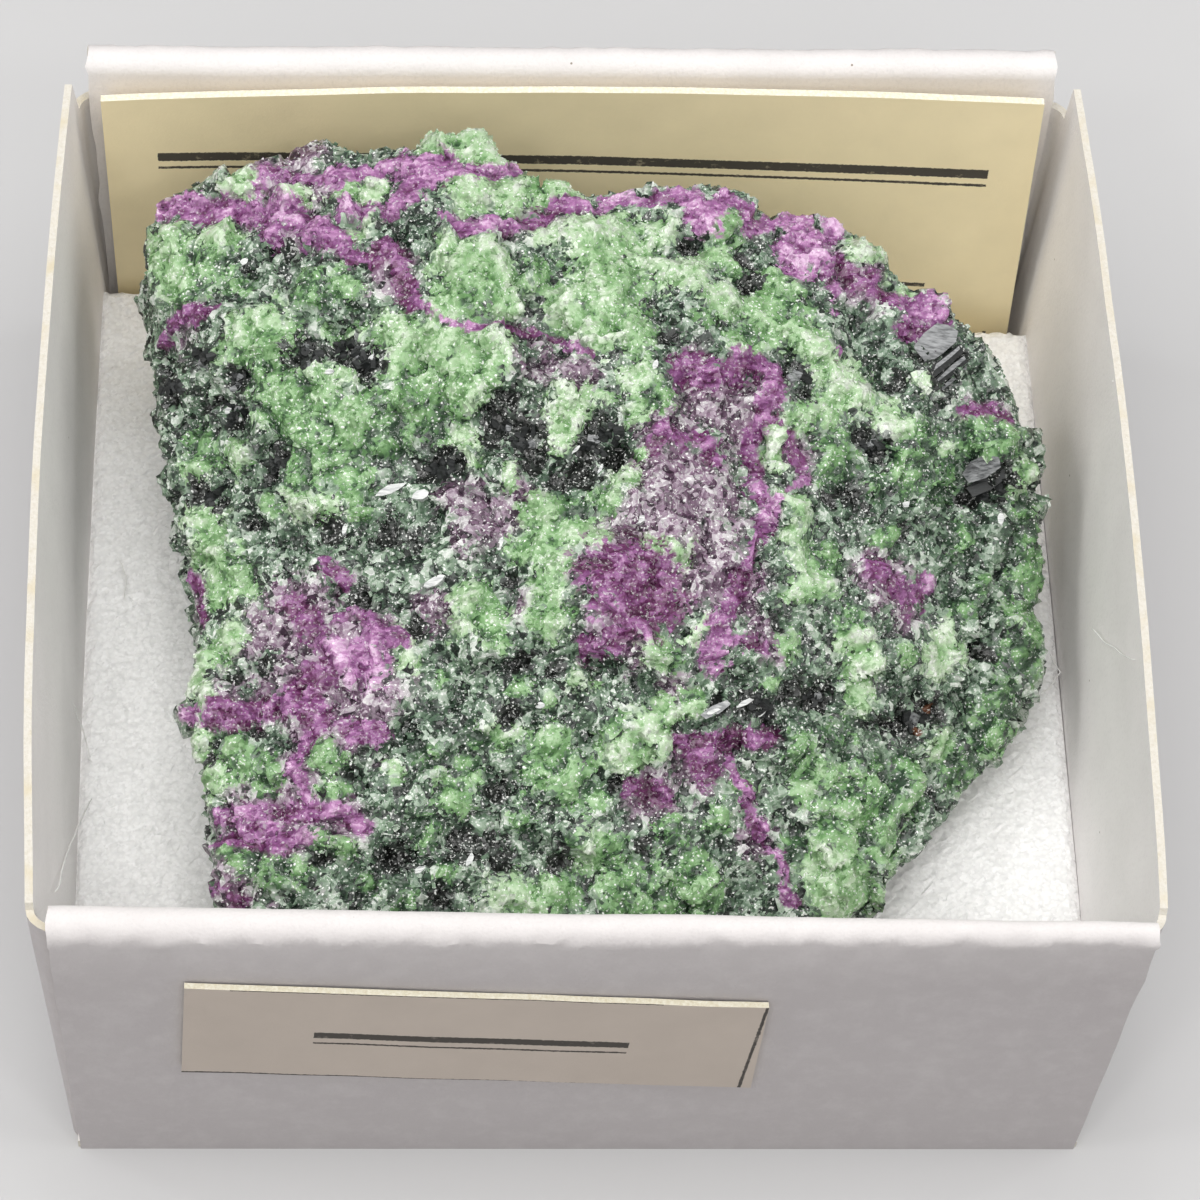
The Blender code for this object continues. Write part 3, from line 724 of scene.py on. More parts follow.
# Each vein is its width in millimetres, how pink it is, and its course in the picture.
RUBY_VEINS = (
    (1.35, 0.55, (165, 208), (178, 198), (200, 208), (250, 214), (275, 214)),
    (1.35, 0.45, (270, 214), (290, 220), (310, 226), (333, 236)),
    (0.65, 0.2, (333, 238), (345, 250), (356, 262)),
    (0.85, 0.35, (222, 168), (260, 172), (300, 178), (335, 178)),
    (0.95, 0.65, (335, 178), (365, 172), (395, 166)),
    (1.5, 0.62, (400, 168), (420, 176), (440, 168)),
    (1.2, 0.5, (418, 180), (404, 200), (380, 213), (352, 218)),
    (0.75, 0.7, (440, 172), (475, 174), (512, 171)),
    (0.95, 0.1, (372, 258), (398, 250), (406, 285), (414, 300)),
    (0.4, 0.65, (414, 296), (430, 311), (446, 320), (468, 325), (500, 328)),
    (0.4, 0.35, (500, 328), (540, 335), (572, 346), (592, 356)),
    (0.8, 0.15, (168, 336), (182, 325), (205, 314), (216, 306)),
    (1.0, 0.6, (452, 221), (475, 230), (495, 224)),
    (0.85, 0.35, (500, 226), (530, 222), (560, 212), (590, 207)),
    (0.8, 0.75, (592, 207), (615, 200), (634, 203)),
    (0.85, 0.3, (634, 203), (655, 199), (684, 195)),
    (0.9, 0.65, (684, 193), (708, 189), (728, 200)),
    (0.75, 0.45, (728, 204), (745, 213), (775, 211), (795, 217)),
    (1.1, 0.75, (795, 217), (812, 219), (832, 230)),
    (0.7, 0.15, (792, 232), (812, 246), (822, 262), (834, 285)),
    (0.95, 0.12, (830, 264), (852, 272), (872, 284), (892, 300), (905, 308)),
    (1.2, 0.42, (905, 308), (922, 304), (940, 318)),
    (0.95, 0.15, (902, 328), (922, 334), (942, 334)),
    (0.35, 0.35, (836, 285), (834, 312), (835, 338), (838, 360)),
    (1.3, 0.22, (684, 370), (720, 374), (758, 366)),
    (0.9, 0.3, (758, 364), (776, 366), (776, 395), (765, 418), (752, 436)),
    (0.8, 0.3, (752, 436), (756, 470), (764, 500)),
    (0.6, 0.85, (764, 492), (770, 512), (766, 524)),
    (0.95, 0.15, (764, 520), (750, 548), (740, 585), (728, 612)),
    (1.25, 0.36, (726, 612), (716, 640), (712, 664)),
    (0.7, 0.35, (738, 640), (766, 650)),
    (0.7, 0.2, (790, 436), (798, 456), (806, 474)),
    (0.55, 0.6, (788, 486), (806, 474)),
    (0.8, 0.22, (654, 448), (676, 434), (700, 444), (714, 460)),
    (0.7, 0.15, (330, 566), (342, 584)),
    (1.0, 0.15, (292, 606), (312, 626), (330, 644)),
    (0.8, 0.08, (345, 618), (375, 630), (400, 640)),
    (1.4, 0.12, (342, 656), (322, 676), (300, 692)),
    (1.1, 0.3, (296, 700), (322, 716), (312, 742)),
    (0.6, 0.7, (306, 742), (303, 775), (310, 800)),
    (0.8, 0.3, (348, 728), (386, 730)),
    (0.75, 0.32, (216, 816), (249, 812), (285, 812)),
    (0.8, 0.25, (222, 838), (252, 836), (285, 846), (300, 838)),
    (0.7, 0.45, (300, 808), (337, 812), (363, 828)),
    (0.9, 0.08, (238, 898), (218, 884)),
    (0.6, 0.15, (190, 580), (198, 602), (206, 622)),
    (1.05, 0.08, (684, 742), (706, 748), (738, 738), (768, 738)),
    (0.95, 0.12, (694, 756), (708, 778)),
    (0.5, 0.4, (728, 760), (743, 791), (761, 829), (778, 861), (789, 903)),
    (1.1, 0.05, (872, 566), (892, 580), (906, 602)),
    (0.8, 0.15, (968, 412), (990, 410), (1004, 420)),
    (0.6, 0.05, (634, 786), (662, 798)),
    (0.6, 0.1, (586, 640), (600, 652)),
    (1.15, 0.06, (216, 716), (250, 712), (284, 706)),
)
# Rounded ruby crystals: picture position, radius in millimetres and how pink they are.
RUBY_KNOBS = (
    (608, 572, 1.15, 0.12), (640, 570, 1.35, 0.05), (660, 600, 1.05, 0.0), (634, 604, 1.3, 0.0),
    (598, 606, 0.6, 0.4), (590, 646, 0.55, 0.3), (617, 646, 0.5, 0.15), (909, 594, 0.7, 0.3),
    (926, 582, 0.4, 0.9), (365, 664, 0.95, 1.0), (190, 714, 0.45, 0.75), (222, 812, 0.3, 0.75),
    (249, 810, 0.3, 0.8), (308, 836, 0.52, 0.95), (337, 810, 0.3, 0.7), (363, 828, 0.38, 0.85),
    (270, 826, 0.3, 0.8), (302, 778, 0.4, 0.9), (716, 652, 0.7, 0.7), (926, 304, 0.75, 0.6),
    (708, 188, 0.6, 0.85), (812, 219, 0.8, 1.0), (795, 216, 0.45, 0.85), (830, 228, 0.4, 0.9),
    (618, 198, 0.55, 0.95), (484, 228, 0.45, 0.9), (290, 218, 0.6, 0.8), (352, 217, 0.4, 0.85),
    (776, 364, 0.4, 0.6), (841, 289, 0.28, 0.95), (834, 313, 0.28, 0.9), (770, 508, 0.35, 0.95),
    (580, 348, 0.3, 0.85), (466, 324, 0.3, 0.85),
)
# Ground tinged purple, with pale grains in it: radius in millimetres and the picture positions it has.
MAUVE = (
    (2.6, (690, 490)),
    (2.4, (640, 560), (270, 828)),
    (2.2, (320, 680), (330, 720)),
    (2.0, (720, 400), (700, 560)),
    (1.8, (660, 520), (300, 620), (350, 630), (250, 700)),
    (1.7, (880, 570)),
    (1.6, (640, 450), (730, 580), (620, 630), (300, 190)),
    (1.5, (370, 700)),
    (1.4, (670, 420), (740, 420), (300, 770), (480, 520), (250, 178), (860, 285), (925, 325), (700, 760)),
    (1.3, (270, 640), (530, 350)),
    (1.2, (340, 820), (520, 500), (900, 600), (545, 225), (395, 272), (480, 226), (650, 795)),
    (1.1, (190, 322)),
    (
        1.0, (260, 160), (300, 158), (580, 380), (460, 490), (800, 455), (770, 640), (985, 415), (820, 250),
        (230, 890), (430, 610),
    ),
    (0.9, (198, 600)),
    (0.8, (760, 840), (670, 690), (515, 600)),
)
# Zoisite: picture position, radius in millimetres, and how bright a green from 0 (pale) to 1.
ZOISITE = (
    (190, 300, 0.8, 1.1), (310, 290, 0.9, 1.15), (345, 285, 0.7, 0.9), (430, 425, 0.9, 1.15),
    (455, 410, 0.6, 1.2), (205, 440, 0.9, 1.05), (240, 455, 0.7, 0.7), (300, 475, 0.6, 1.1),
    (360, 510, 0.5, 1.2), (540, 275, 0.8, 1.0), (735, 270, 0.6, 1.05), (700, 320, 0.5, 1.1),
    (840, 470, 0.8, 1.2), (870, 490, 0.6, 1.35), (900, 480, 0.7, 1.3), (960, 540, 0.8, 1.3),
    (880, 540, 0.7, 1.25), (850, 620, 0.6, 1.1), (830, 560, 0.6, 1.2), (880, 770, 0.7, 1.3),
    (840, 740, 0.7, 1.3), (800, 750, 0.6, 1.25), (480, 740, 0.6, 1.3), (520, 820, 0.6, 1.2),
    (610, 850, 0.6, 1.15), (430, 760, 0.6, 1.35), (250, 860, 0.6, 1.2), (230, 850, 0.5, 1.1),
    (320, 840, 0.5, 1.25), (240, 740, 0.6, 1.15), (220, 730, 0.5, 1.1), (168, 250, 1.3, 0.45),
    (180, 280, 1.3, 0.4), (210, 268, 1.1, 1.0), (222, 240, 0.9, 0.3), (240, 290, 0.7, 1.2),
    (262, 318, 1.0, 0.25), (248, 345, 1.4, 0.6), (278, 350, 1.4, 0.8), (270, 378, 1.1, 1.0),
    (290, 400, 1.5, 0.8), (322, 398, 1.2, 0.55), (310, 430, 1.7, 0.9), (345, 425, 1.3, 0.6),
    (352, 455, 1.2, 0.95), (318, 460, 1.4, 0.95), (350, 478, 0.9, 0.8), (392, 432, 1.3, 1.15),
    (412, 402, 1.2, 1.0), (425, 425, 0.8, 0.7), (400, 340, 1.2, 0.35), (398, 370, 1.1, 0.55),
    (440, 345, 1.1, 0.35), (430, 380, 1.1, 0.5), (466, 350, 1.2, 0.25), (476, 366, 1.1, 0.55),
    (492, 350, 0.9, 0.3), (462, 385, 1.1, 0.5), (352, 335, 0.7, 0.3), (330, 330, 0.4, 0.4),
    (350, 376, 0.5, 0.55), (456, 142, 1.3, 0.4), (480, 150, 1.3, 0.35), (438, 155, 1.0, 0.25),
    (500, 158, 0.8, 0.1), (470, 130, 0.9, 0.5), (470, 192, 1.1, 0.1), (510, 195, 1.0, 0.3),
    (540, 192, 1.1, 0.55), (568, 198, 0.9, 0.25), (548, 234, 0.8, 0.0), (460, 262, 1.3, 0.35),
    (486, 262, 1.2, 0.3), (478, 285, 1.5, 0.75), (505, 280, 1.0, 0.4), (450, 300, 0.9, 0.45),
    (505, 305, 0.8, 0.25), (590, 235, 1.2, 0.2), (612, 225, 1.0, 0.25), (600, 258, 1.3, 0.4),
    (622, 278, 1.2, 0.65), (595, 290, 1.1, 0.35), (612, 312, 1.2, 0.6), (630, 330, 1.2, 0.6),
    (598, 335, 0.9, 0.2), (575, 315, 0.9, 0.25), (560, 295, 0.7, 0.2), (640, 250, 1.0, 0.2),
    (662, 270, 0.9, 0.1), (690, 275, 0.9, 0.15), (708, 292, 0.8, 0.1), (730, 305, 1.0, 0.25),
    (660, 228, 0.7, 0.1), (725, 235, 1.0, 0.75), (705, 255, 0.8, 0.5), (770, 285, 0.8, 0.6),
    (785, 305, 1.1, 0.7), (760, 320, 1.1, 0.75), (790, 328, 0.9, 0.6), (745, 345, 0.9, 0.6),
    (815, 350, 0.9, 0.3), (828, 368, 0.9, 0.25), (848, 386, 1.1, 0.15), (862, 392, 0.8, 0.1),
    (888, 412, 0.75, 0.0), (898, 426, 0.65, 0.0), (880, 430, 0.55, 0.0), (778, 430, 0.8, 0.15),
    (770, 455, 0.7, 0.15), (800, 420, 0.8, 0.45), (825, 412, 0.8, 0.35), (572, 398, 0.9, 0.1),
    (562, 425, 1.0, 0.15), (585, 408, 0.7, 0.2), (556, 445, 0.6, 0.5), (600, 395, 0.4, 0.5),
    (640, 378, 0.9, 0.25), (660, 398, 0.8, 1.1), (640, 410, 0.6, 0.2), (460, 436, 0.7, 0.05),
    (478, 446, 0.4, 0.3), (470, 462, 0.5, 0.05), (508, 478, 0.5, 0.5), (545, 515, 0.9, 0.55),
    (575, 510, 0.6, 1.1), (548, 540, 1.0, 0.5), (575, 535, 0.8, 0.35), (556, 565, 0.8, 0.5),
    (550, 592, 0.8, 0.45), (548, 620, 0.8, 0.5), (520, 550, 0.45, 0.6), (605, 500, 0.7, 0.5),
    (622, 480, 0.7, 0.15), (640, 455, 0.4, 0.4), (598, 540, 0.6, 0.4), (672, 552, 0.8, 0.05),
    (650, 545, 0.6, 0.05), (208, 520, 0.8, 0.3), (215, 545, 1.1, 0.3), (235, 568, 1.0, 0.6),
    (222, 590, 0.9, 0.5), (248, 592, 0.7, 0.4), (200, 470, 0.8, 0.65), (300, 500, 0.7, 0.1),
    (325, 512, 0.6, 0.05), (270, 505, 0.4, 1.0), (470, 600, 0.9, 0.4), (487, 618, 0.8, 0.6),
    (462, 632, 0.6, 0.3), (402, 640, 0.55, 0.05), (405, 662, 0.5, 0.15), (230, 640, 0.8, 0.1),
    (215, 655, 0.7, 0.6), (200, 680, 0.8, 0.0), (205, 700, 0.6, 0.0), (240, 704, 0.28, 0.0),
    (290, 705, 0.35, 0.0), (498, 640, 0.5, 0.9), (655, 648, 0.7, 0.4), (672, 660, 0.5, 0.8),
    (705, 626, 0.45, 0.15), (690, 640, 0.45, 0.2), (805, 556, 0.9, 0.25), (812, 580, 0.9, 0.45),
    (796, 590, 0.6, 0.35), (800, 512, 0.8, 0.3), (790, 535, 0.5, 0.3), (785, 500, 0.5, 0.1),
    (840, 445, 0.9, 1.1), (832, 470, 0.8, 1.25), (920, 440, 0.9, 1.35), (905, 470, 1.0, 1.1),
    (945, 450, 0.5, 0.05), (925, 385, 0.6, 0.15), (940, 480, 0.9, 1.3), (990, 440, 1.2, 0.95),
    (1005, 435, 0.9, 1.1), (942, 640, 0.8, 0.0), (935, 662, 0.8, 0.0), (955, 655, 0.6, 0.05),
    (910, 655, 0.5, 0.9), (862, 640, 0.7, 0.2), (866, 665, 0.7, 0.3), (862, 695, 0.8, 0.3),
    (840, 640, 0.5, 0.2), (620, 748, 0.9, 0.2), (645, 728, 0.9, 0.15), (665, 712, 0.6, 0.5),
    (610, 725, 0.4, 1.0), (640, 755, 0.7, 0.25), (660, 742, 0.6, 0.15), (690, 700, 0.6, 0.6),
    (548, 765, 1.1, 0.9), (575, 780, 1.0, 0.85), (556, 742, 0.7, 0.5), (590, 800, 0.7, 1.05),
    (505, 895, 1.0, 0.15), (530, 905, 0.9, 0.35), (565, 890, 0.9, 0.7), (593, 848, 0.8, 0.15),
    (572, 838, 0.35, 1.2), (630, 890, 1.4, 0.95), (660, 905, 1.2, 0.8), (700, 895, 1.1, 0.85),
    (690, 860, 0.8, 1.1), (670, 830, 0.7, 1.2), (850, 805, 1.4, 0.95), (872, 825, 1.4, 0.95),
    (845, 832, 1.2, 0.75), (828, 858, 1.0, 0.1), (850, 870, 1.0, 0.5), (880, 790, 0.9, 1.1),
    (835, 895, 1.2, 0.5), (862, 900, 0.9, 0.7), (892, 860, 0.8, 0.7), (814, 766, 0.7, 0.55),
    (800, 790, 0.7, 0.6), (830, 775, 0.7, 0.6), (1025, 545, 1.0, 1.3), (1030, 580, 0.9, 1.1),
    (1025, 620, 0.9, 0.8), (1018, 655, 0.9, 1.3), (1005, 700, 1.0, 1.3), (990, 735, 1.1, 1.2),
    (960, 770, 0.9, 1.3), (1022, 505, 0.7, 1.3), (1018, 480, 0.6, 0.5), (1034, 470, 0.6, 0.4),
    (858, 252, 0.7, 0.1), (875, 262, 0.6, 0.35), (902, 288, 0.6, 0.1), (195, 745, 0.8, 0.25),
    (212, 775, 0.9, 0.4), (245, 765, 0.9, 1.05), (265, 778, 0.8, 0.95), (235, 745, 0.5, 0.6),
    (250, 188, 0.8, 0.1), (235, 180, 0.8, 0.1), (345, 190, 0.7, 0.5), (370, 192, 0.7, 0.05),
    (298, 200, 0.6, 0.15), (370, 228, 0.6, 0.05), (355, 235, 0.5, 0.0), (380, 168, 0.5, 0.15),
    (960, 612, 0.7, 1.3), (985, 590, 0.5, 1.4), (912, 775, 0.9, 1.1), (905, 805, 0.8, 1.05),
    (940, 745, 0.8, 0.3), (790, 640, 0.6, 0.7), (775, 680, 0.45, 0.8), (395, 770, 0.4, 0.3),
    (330, 760, 0.7, 1.0), (430, 760, 0.6, 1.2), (455, 800, 0.9, 0.75), (425, 830, 0.6, 1.35),
    (330, 790, 0.5, 0.7), (440, 680, 0.4, 1.1), (520, 690, 0.4, 0.9), (500, 730, 0.7, 0.35),
    (580, 680, 0.5, 0.1), (545, 700, 0.4, 0.4), (740, 790, 0.5, 0.7), (720, 820, 0.6, 1.0),
    (790, 850, 0.6, 1.2), (300, 870, 0.6, 0.9), (345, 850, 0.5, 0.9), (370, 880, 0.5, 1.2),
    (275, 870, 0.8, 1.3), (400, 900, 0.6, 1.3), (450, 870, 0.5, 1.1), (470, 770, 0.5, 0.9),
)
# Black amphibole, in the same way.
BLACK = (
    (1.05, (311, 358)),
    (0.8, (525, 430), (945, 374), (905, 722)),
    (0.75, (344, 350), (500, 430), (585, 470), (590, 440), (470, 845)),
    (0.7, (370, 362), (530, 456), (930, 712)),
    (
        0.65, (232, 380), (606, 424), (612, 460), (856, 494), (1005, 475), (990, 492), (800, 690),
        (820, 696), (750, 702), (560, 865), (498, 850),
    ),
    (0.6, (168, 376), (215, 405), (236, 415), (205, 492), (430, 472), (865, 436), (395, 860), (385, 532)),
    (
        0.55, (200, 358), (172, 394), (278, 458), (445, 455), (512, 400), (745, 262), (925, 352),
        (720, 706), (440, 900), (330, 528),
    ),
    (
        0.5, (222, 427), (270, 478), (298, 252), (672, 332), (796, 368), (808, 390), (878, 452), (900, 530),
        (775, 720), (880, 716), (362, 600), (410, 538), (520, 660), (555, 672), (500, 792),
    ),
    (
        0.45, (462, 466), (490, 412), (560, 478), (270, 246), (752, 285), (912, 335), (960, 352),
        (895, 382), (970, 500), (415, 625), (350, 770), (510, 580), (510, 715), (640, 850),
    ),
    (
        0.4, (300, 346), (222, 505), (838, 500), (320, 860), (362, 748), (615, 780), (232, 674), (250, 520),
        (985, 650),
    ),
    (
        0.35, (318, 262), (250, 268), (688, 240), (698, 246), (372, 610), (260, 660), (260, 735),
        (780, 620), (935, 800),
    ),
    (0.3, (210, 760)),
)
# Dark green ground, in the same way.
DARK = (
    (1.0, (525, 430)),
    (
        0.9, (430, 470), (500, 430), (530, 455), (560, 475), (585, 470), (590, 440), (605, 425), (620, 440),
        (860, 320), (880, 345), (945, 372), (900, 530), (800, 680), (820, 695), (905, 720), (470, 845),
        (440, 720), (395, 860),
    ),
    (
        0.8, (311, 358), (330, 300), (400, 228), (330, 528), (385, 532), (440, 450), (460, 465), (490, 410),
        (512, 400), (490, 455), (612, 460), (566, 495), (540, 265), (745, 240), (752, 262), (748, 285),
        (780, 245), (668, 290), (662, 310), (672, 332), (722, 342), (870, 365), (895, 380), (925, 350),
        (932, 392), (960, 350), (850, 485), (858, 505), (870, 530), (1005, 475), (995, 495), (970, 500),
        (950, 520), (985, 530), (780, 700), (750, 690), (740, 715), (930, 712), (560, 865), (495, 850),
        (500, 790), (415, 880), (440, 900), (500, 560),
    ),
    (0.75, (700, 872), (368, 362)),
    (
        0.7, (430, 520), (232, 380), (205, 492), (298, 252), (322, 262), (420, 222), (345, 520), (410, 536),
        (530, 395), (510, 455), (560, 260), (530, 345), (760, 230), (790, 262), (808, 330), (815, 300),
        (912, 335), (912, 395), (975, 365), (985, 385), (865, 436), (878, 452), (885, 505), (850, 545),
        (930, 540), (945, 570), (975, 560), (850, 600), (720, 700), (770, 722), (700, 720), (800, 725),
        (880, 715), (915, 738), (950, 700), (615, 780), (520, 830), (465, 705), (415, 735), (350, 770),
        (372, 790), (350, 870), (515, 580), (510, 650), (530, 665), (560, 670), (545, 720), (720, 850),
        (745, 880),
    ),
    (0.65, (440, 850), (172, 392), (215, 405), (236, 415)),
    (
        0.6, (900, 690), (345, 350), (200, 358), (168, 372), (222, 425), (278, 458), (270, 478), (270, 246),
        (355, 320), (425, 245), (350, 275), (375, 545), (600, 490), (545, 480), (710, 322), (955, 335),
        (838, 500), (975, 455), (1018, 450), (1005, 540), (830, 620), (778, 600), (785, 620), (798, 650),
        (835, 720), (975, 680), (985, 650), (990, 620), (910, 690), (890, 640), (630, 770), (575, 870),
        (450, 850), (485, 810), (320, 860), (380, 905), (300, 895), (260, 660), (362, 600), (415, 625),
        (300, 550), (265, 535), (325, 545), (505, 605), (590, 675), (580, 740), (520, 745), (660, 860),
        (640, 850), (612, 870), (735, 905), (620, 810), (935, 800), (275, 745), (730, 680), (650, 690),
        (610, 660), (195, 420), (248, 520),
    ),
    (0.55, (222, 505), (796, 368), (808, 390), (232, 672)),
    (
        0.5, (684, 884), (718, 862), (188, 368), (215, 470), (285, 475), (262, 272), (385, 225), (780, 560),
        (365, 748), (380, 740), (245, 688), (395, 600), (285, 535), (905, 840), (250, 725),
    ),
    (0.45, (412, 528), (458, 842), (422, 858), (300, 344), (688, 240), (372, 610)),
    (0.4, (890, 676), (250, 262), (698, 246), (225, 760), (250, 430)),
    (0.35, (663, 355)),
)
# Cleavage flakes, turned half to the camera and coloured near white, partly pearly cleavage and partly
# painted highlight: picture position, length, width in millimetres and turn.
FLAKES = (
    (390, 490, 1.25, 0.4, 25), (420, 496, 0.75, 0.42, 10), (434, 582, 0.9, 0.32, 25),
    (745, 703, 0.9, 0.2, 30), (712, 712, 0.6, 0.18, 20), (500, 545, 0.6, 0.22, 70),
    (330, 372, 0.35, 0.22, 5), (640, 520, 0.5, 0.25, 40), (655, 365, 0.4, 0.25, 60),
    (1000, 520, 0.5, 0.3, 80), (905, 505, 0.5, 0.25, 30), (600, 470, 0.6, 0.14, 65),
    (575, 450, 0.5, 0.14, 50), (760, 715, 0.5, 0.14, 35), (470, 860, 0.6, 0.22, 70),
    (420, 870, 0.5, 0.25, 20), (540, 705, 0.4, 0.3, 15), (345, 530, 0.45, 0.2, 70),
    (228, 412, 0.35, 0.25, 30), (238, 420, 0.3, 0.22, 0), (310, 352, 0.3, 0.2, 20),
    (372, 358, 0.35, 0.18, 45), (245, 262, 0.4, 0.25, 30),
)
# The large flat faces, most of them on the striped black crystals at the right rim, whose pale faces and
# light stripes are painted reflections: shade, how far it stands out in millimetres and its corners in the
# picture.
CRYSTAL_FACES = (
    (
        0.58, 0.3,
        (913, 347), (924, 333), (937, 323), (948, 325), (958, 331), (956, 342), (941, 355), (927, 364),
    ),
    (
        0.03, 0.2,
        (918, 378), (930, 367), (945, 356), (959, 344), (964, 352), (951, 364), (936, 376), (922, 386),
    ),
    (
        0.6, 0.24,
        (922, 375), (935, 365), (948, 355), (959, 346), (960, 349), (949, 359), (936, 369), (924, 378),
    ),
    (
        0.05, 0.17,
        (921, 390), (934, 379), (949, 367), (964, 355), (968, 362), (954, 374), (938, 386), (925, 396),
    ),
    (
        0.52, 0.21,
        (926, 386), (939, 376), (952, 365), (964, 356), (966, 359), (954, 369), (940, 380), (928, 389),
    ),
    (
        0.46, 0.17,
        (928, 397), (940, 388), (954, 376), (966, 366), (967, 369), (955, 380), (942, 391), (930, 400),
    ),
    (0.5, 0.26, (962, 474), (970, 462), (984, 455), (999, 457), (1001, 467), (986, 478), (969, 483)),
    (0.08, 0.16, (966, 488), (975, 481), (990, 474), (1002, 466), (1006, 478), (992, 489), (973, 497)),
    (0.7, 0.2, (700, 715), (712, 706), (727, 700), (731, 704), (720, 713), (706, 719)),
)
# Clusters of small black faces, about one in eight painted grey as a painted glint: picture position, reach
# in millimetres and how many.
BLACK_CRYSTALS = (
    (309, 358, 0.5, 14), (348, 351, 0.42, 10), (367, 365, 0.38, 9), (203, 358, 0.36, 8),
    (171, 388, 0.36, 8), (234, 381, 0.36, 8), (234, 416, 0.42, 10), (212, 497, 0.36, 8),
    (276, 466, 0.36, 8), (524, 440, 0.5, 10), (500, 428, 0.36, 6), (592, 448, 0.5, 9), (610, 434, 0.36, 8),
    (440, 466, 0.45, 9), (801, 380, 0.34, 7), (870, 444, 0.4, 8), (992, 492, 0.5, 10), (912, 720, 0.5, 10),
    (760, 706, 0.55, 11), (812, 694, 0.45, 9),
)
# Narrow cracks: depth and half width in millimetres and their course in the picture.
CRACKS = (
    (0.8, 0.22, (1025, 500), (1008, 563), (982, 620), (972, 690), (960, 730), (925, 800), (885, 880)),
    (0.3, 0.16, (765, 440), (768, 490), (775, 540), (768, 600), (770, 650)),
    (0.35, 0.2, (895, 735), (930, 718), (965, 700)),
    (0.3, 0.2, (800, 370), (830, 400), (870, 440)),
    (0.35, 0.16, (180, 562), (200, 558), (215, 560)),
    (0.3, 0.16, (622, 500), (645, 470), (690, 452), (715, 465)),
    (0.3, 0.16, (690, 725), (740, 712), (790, 705), (815, 712)),
    (0.25, 0.14, (250, 242), (290, 248), (335, 262)),
    (0.22, 0.14, (500, 333), (550, 345), (585, 362)),
    (0.25, 0.16, (240, 300), (232, 340), (240, 372), (270, 392)),
    (0.22, 0.16, (446, 238), (440, 275), (452, 308)),
)
# Rust: radius in millimetres and picture positions.
RUST = ((0.32, (930, 711)), (0.22, (915, 735)))


def picture_ray(px, py):
    """The direction from the camera through a picture position."""
    turn = CAMERA_TURN.to_matrix()
    ahead = Vector(((px - PICTURE / 2) / FOCAL_PIXELS, (PICTURE / 2 - py) / FOCAL_PIXELS, -1.0))
    return turn @ ahead


STONE_MIDDLE = Vector((0.0, 0.0, 13.0))
LOOK_ROUND = ((0, 0), (9, 0), (-9, 0), (0, 9), (0, -9))  # in picture pixels


class Surface:
    """A surface in millimetres, for placing what the picture shows on it."""

    def __init__(self, points, faces):
        self.tree = BVHTree.FromPolygons([tuple(p) for p in points], [tuple(f) for f in faces])

    def seen(self, px, py):
        """The point of the surface under a picture position, or the nearest one just beside it."""
        ray = picture_ray(px, py)
        hit = self.tree.ray_cast(CAMERA_AT, ray)[0]
        if hit is not None:
            return hit
        ray = ray.normalized()
        along = (STONE_MIDDLE - CAMERA_AT).dot(ray)
        return self.tree.find_nearest(CAMERA_AT + ray * along)[0]

    def facing(self, px, py):
        """The point under a picture position and the average direction of the surface round it."""
        centre = self.seen(px, py)
        total = Vector((0.0, 0.0, 0.0))
        for dx, dy in LOOK_ROUND:
            hit = self.tree.ray_cast(CAMERA_AT, picture_ray(px + dx, py + dy))
            if hit[1] is not None:
                total += hit[1] if hit[1].z > 0 else -hit[1]
        return centre, (total if total.length > 0 else Vector((0.0, 0.0, 1.0))).normalized()


def distance_to_course(points, course):
    """Distance of each point to a line through 3-D points."""
    best = np.full(len(points), 1e9)
    course = np.array(course)
    for a, b in zip(course, course[1:]):
        run = b - a
        share = np.clip(((points - a) @ run) / max(run @ run, 1e-9), 0.0, 1.0)
        best = np.minimum(best, np.linalg.norm(points - a - share[:, None] * run, axis=1))
    return best


def patch(points, centre, radius):
    """1 at the centre, 0.5 at the radius, 0 at twice the radius."""
    return np.clip(1.0 - np.linalg.norm(points - np.array(centre), axis=1) / (2.0 * radius), 0.0, 1.0)


def vein(points, course, width):
    """1 on the line, 0.5 at half the width, 0 at the whole width."""
    return np.clip(1.0 - distance_to_course(points, course) / width, 0.0, 1.0)


def hidden_share(points):
    """0 where the picture shows the stone, 1 on its back, sides and underside."""
    low = np.clip((9.0 - points[:, 2]) / 2.5, 0.0, 1.0)
    left = np.clip((-16.6 - points[:, 0]) / 0.8, 0.0, 1.0) * (points[:, 2] < 12.0)
    back = np.clip((points[:, 1] - 14.9) / 1.2, 0.0, 1.0) * (points[:, 2] < 17.0)
    return np.clip(low + left + back, 0.0, 1.0)


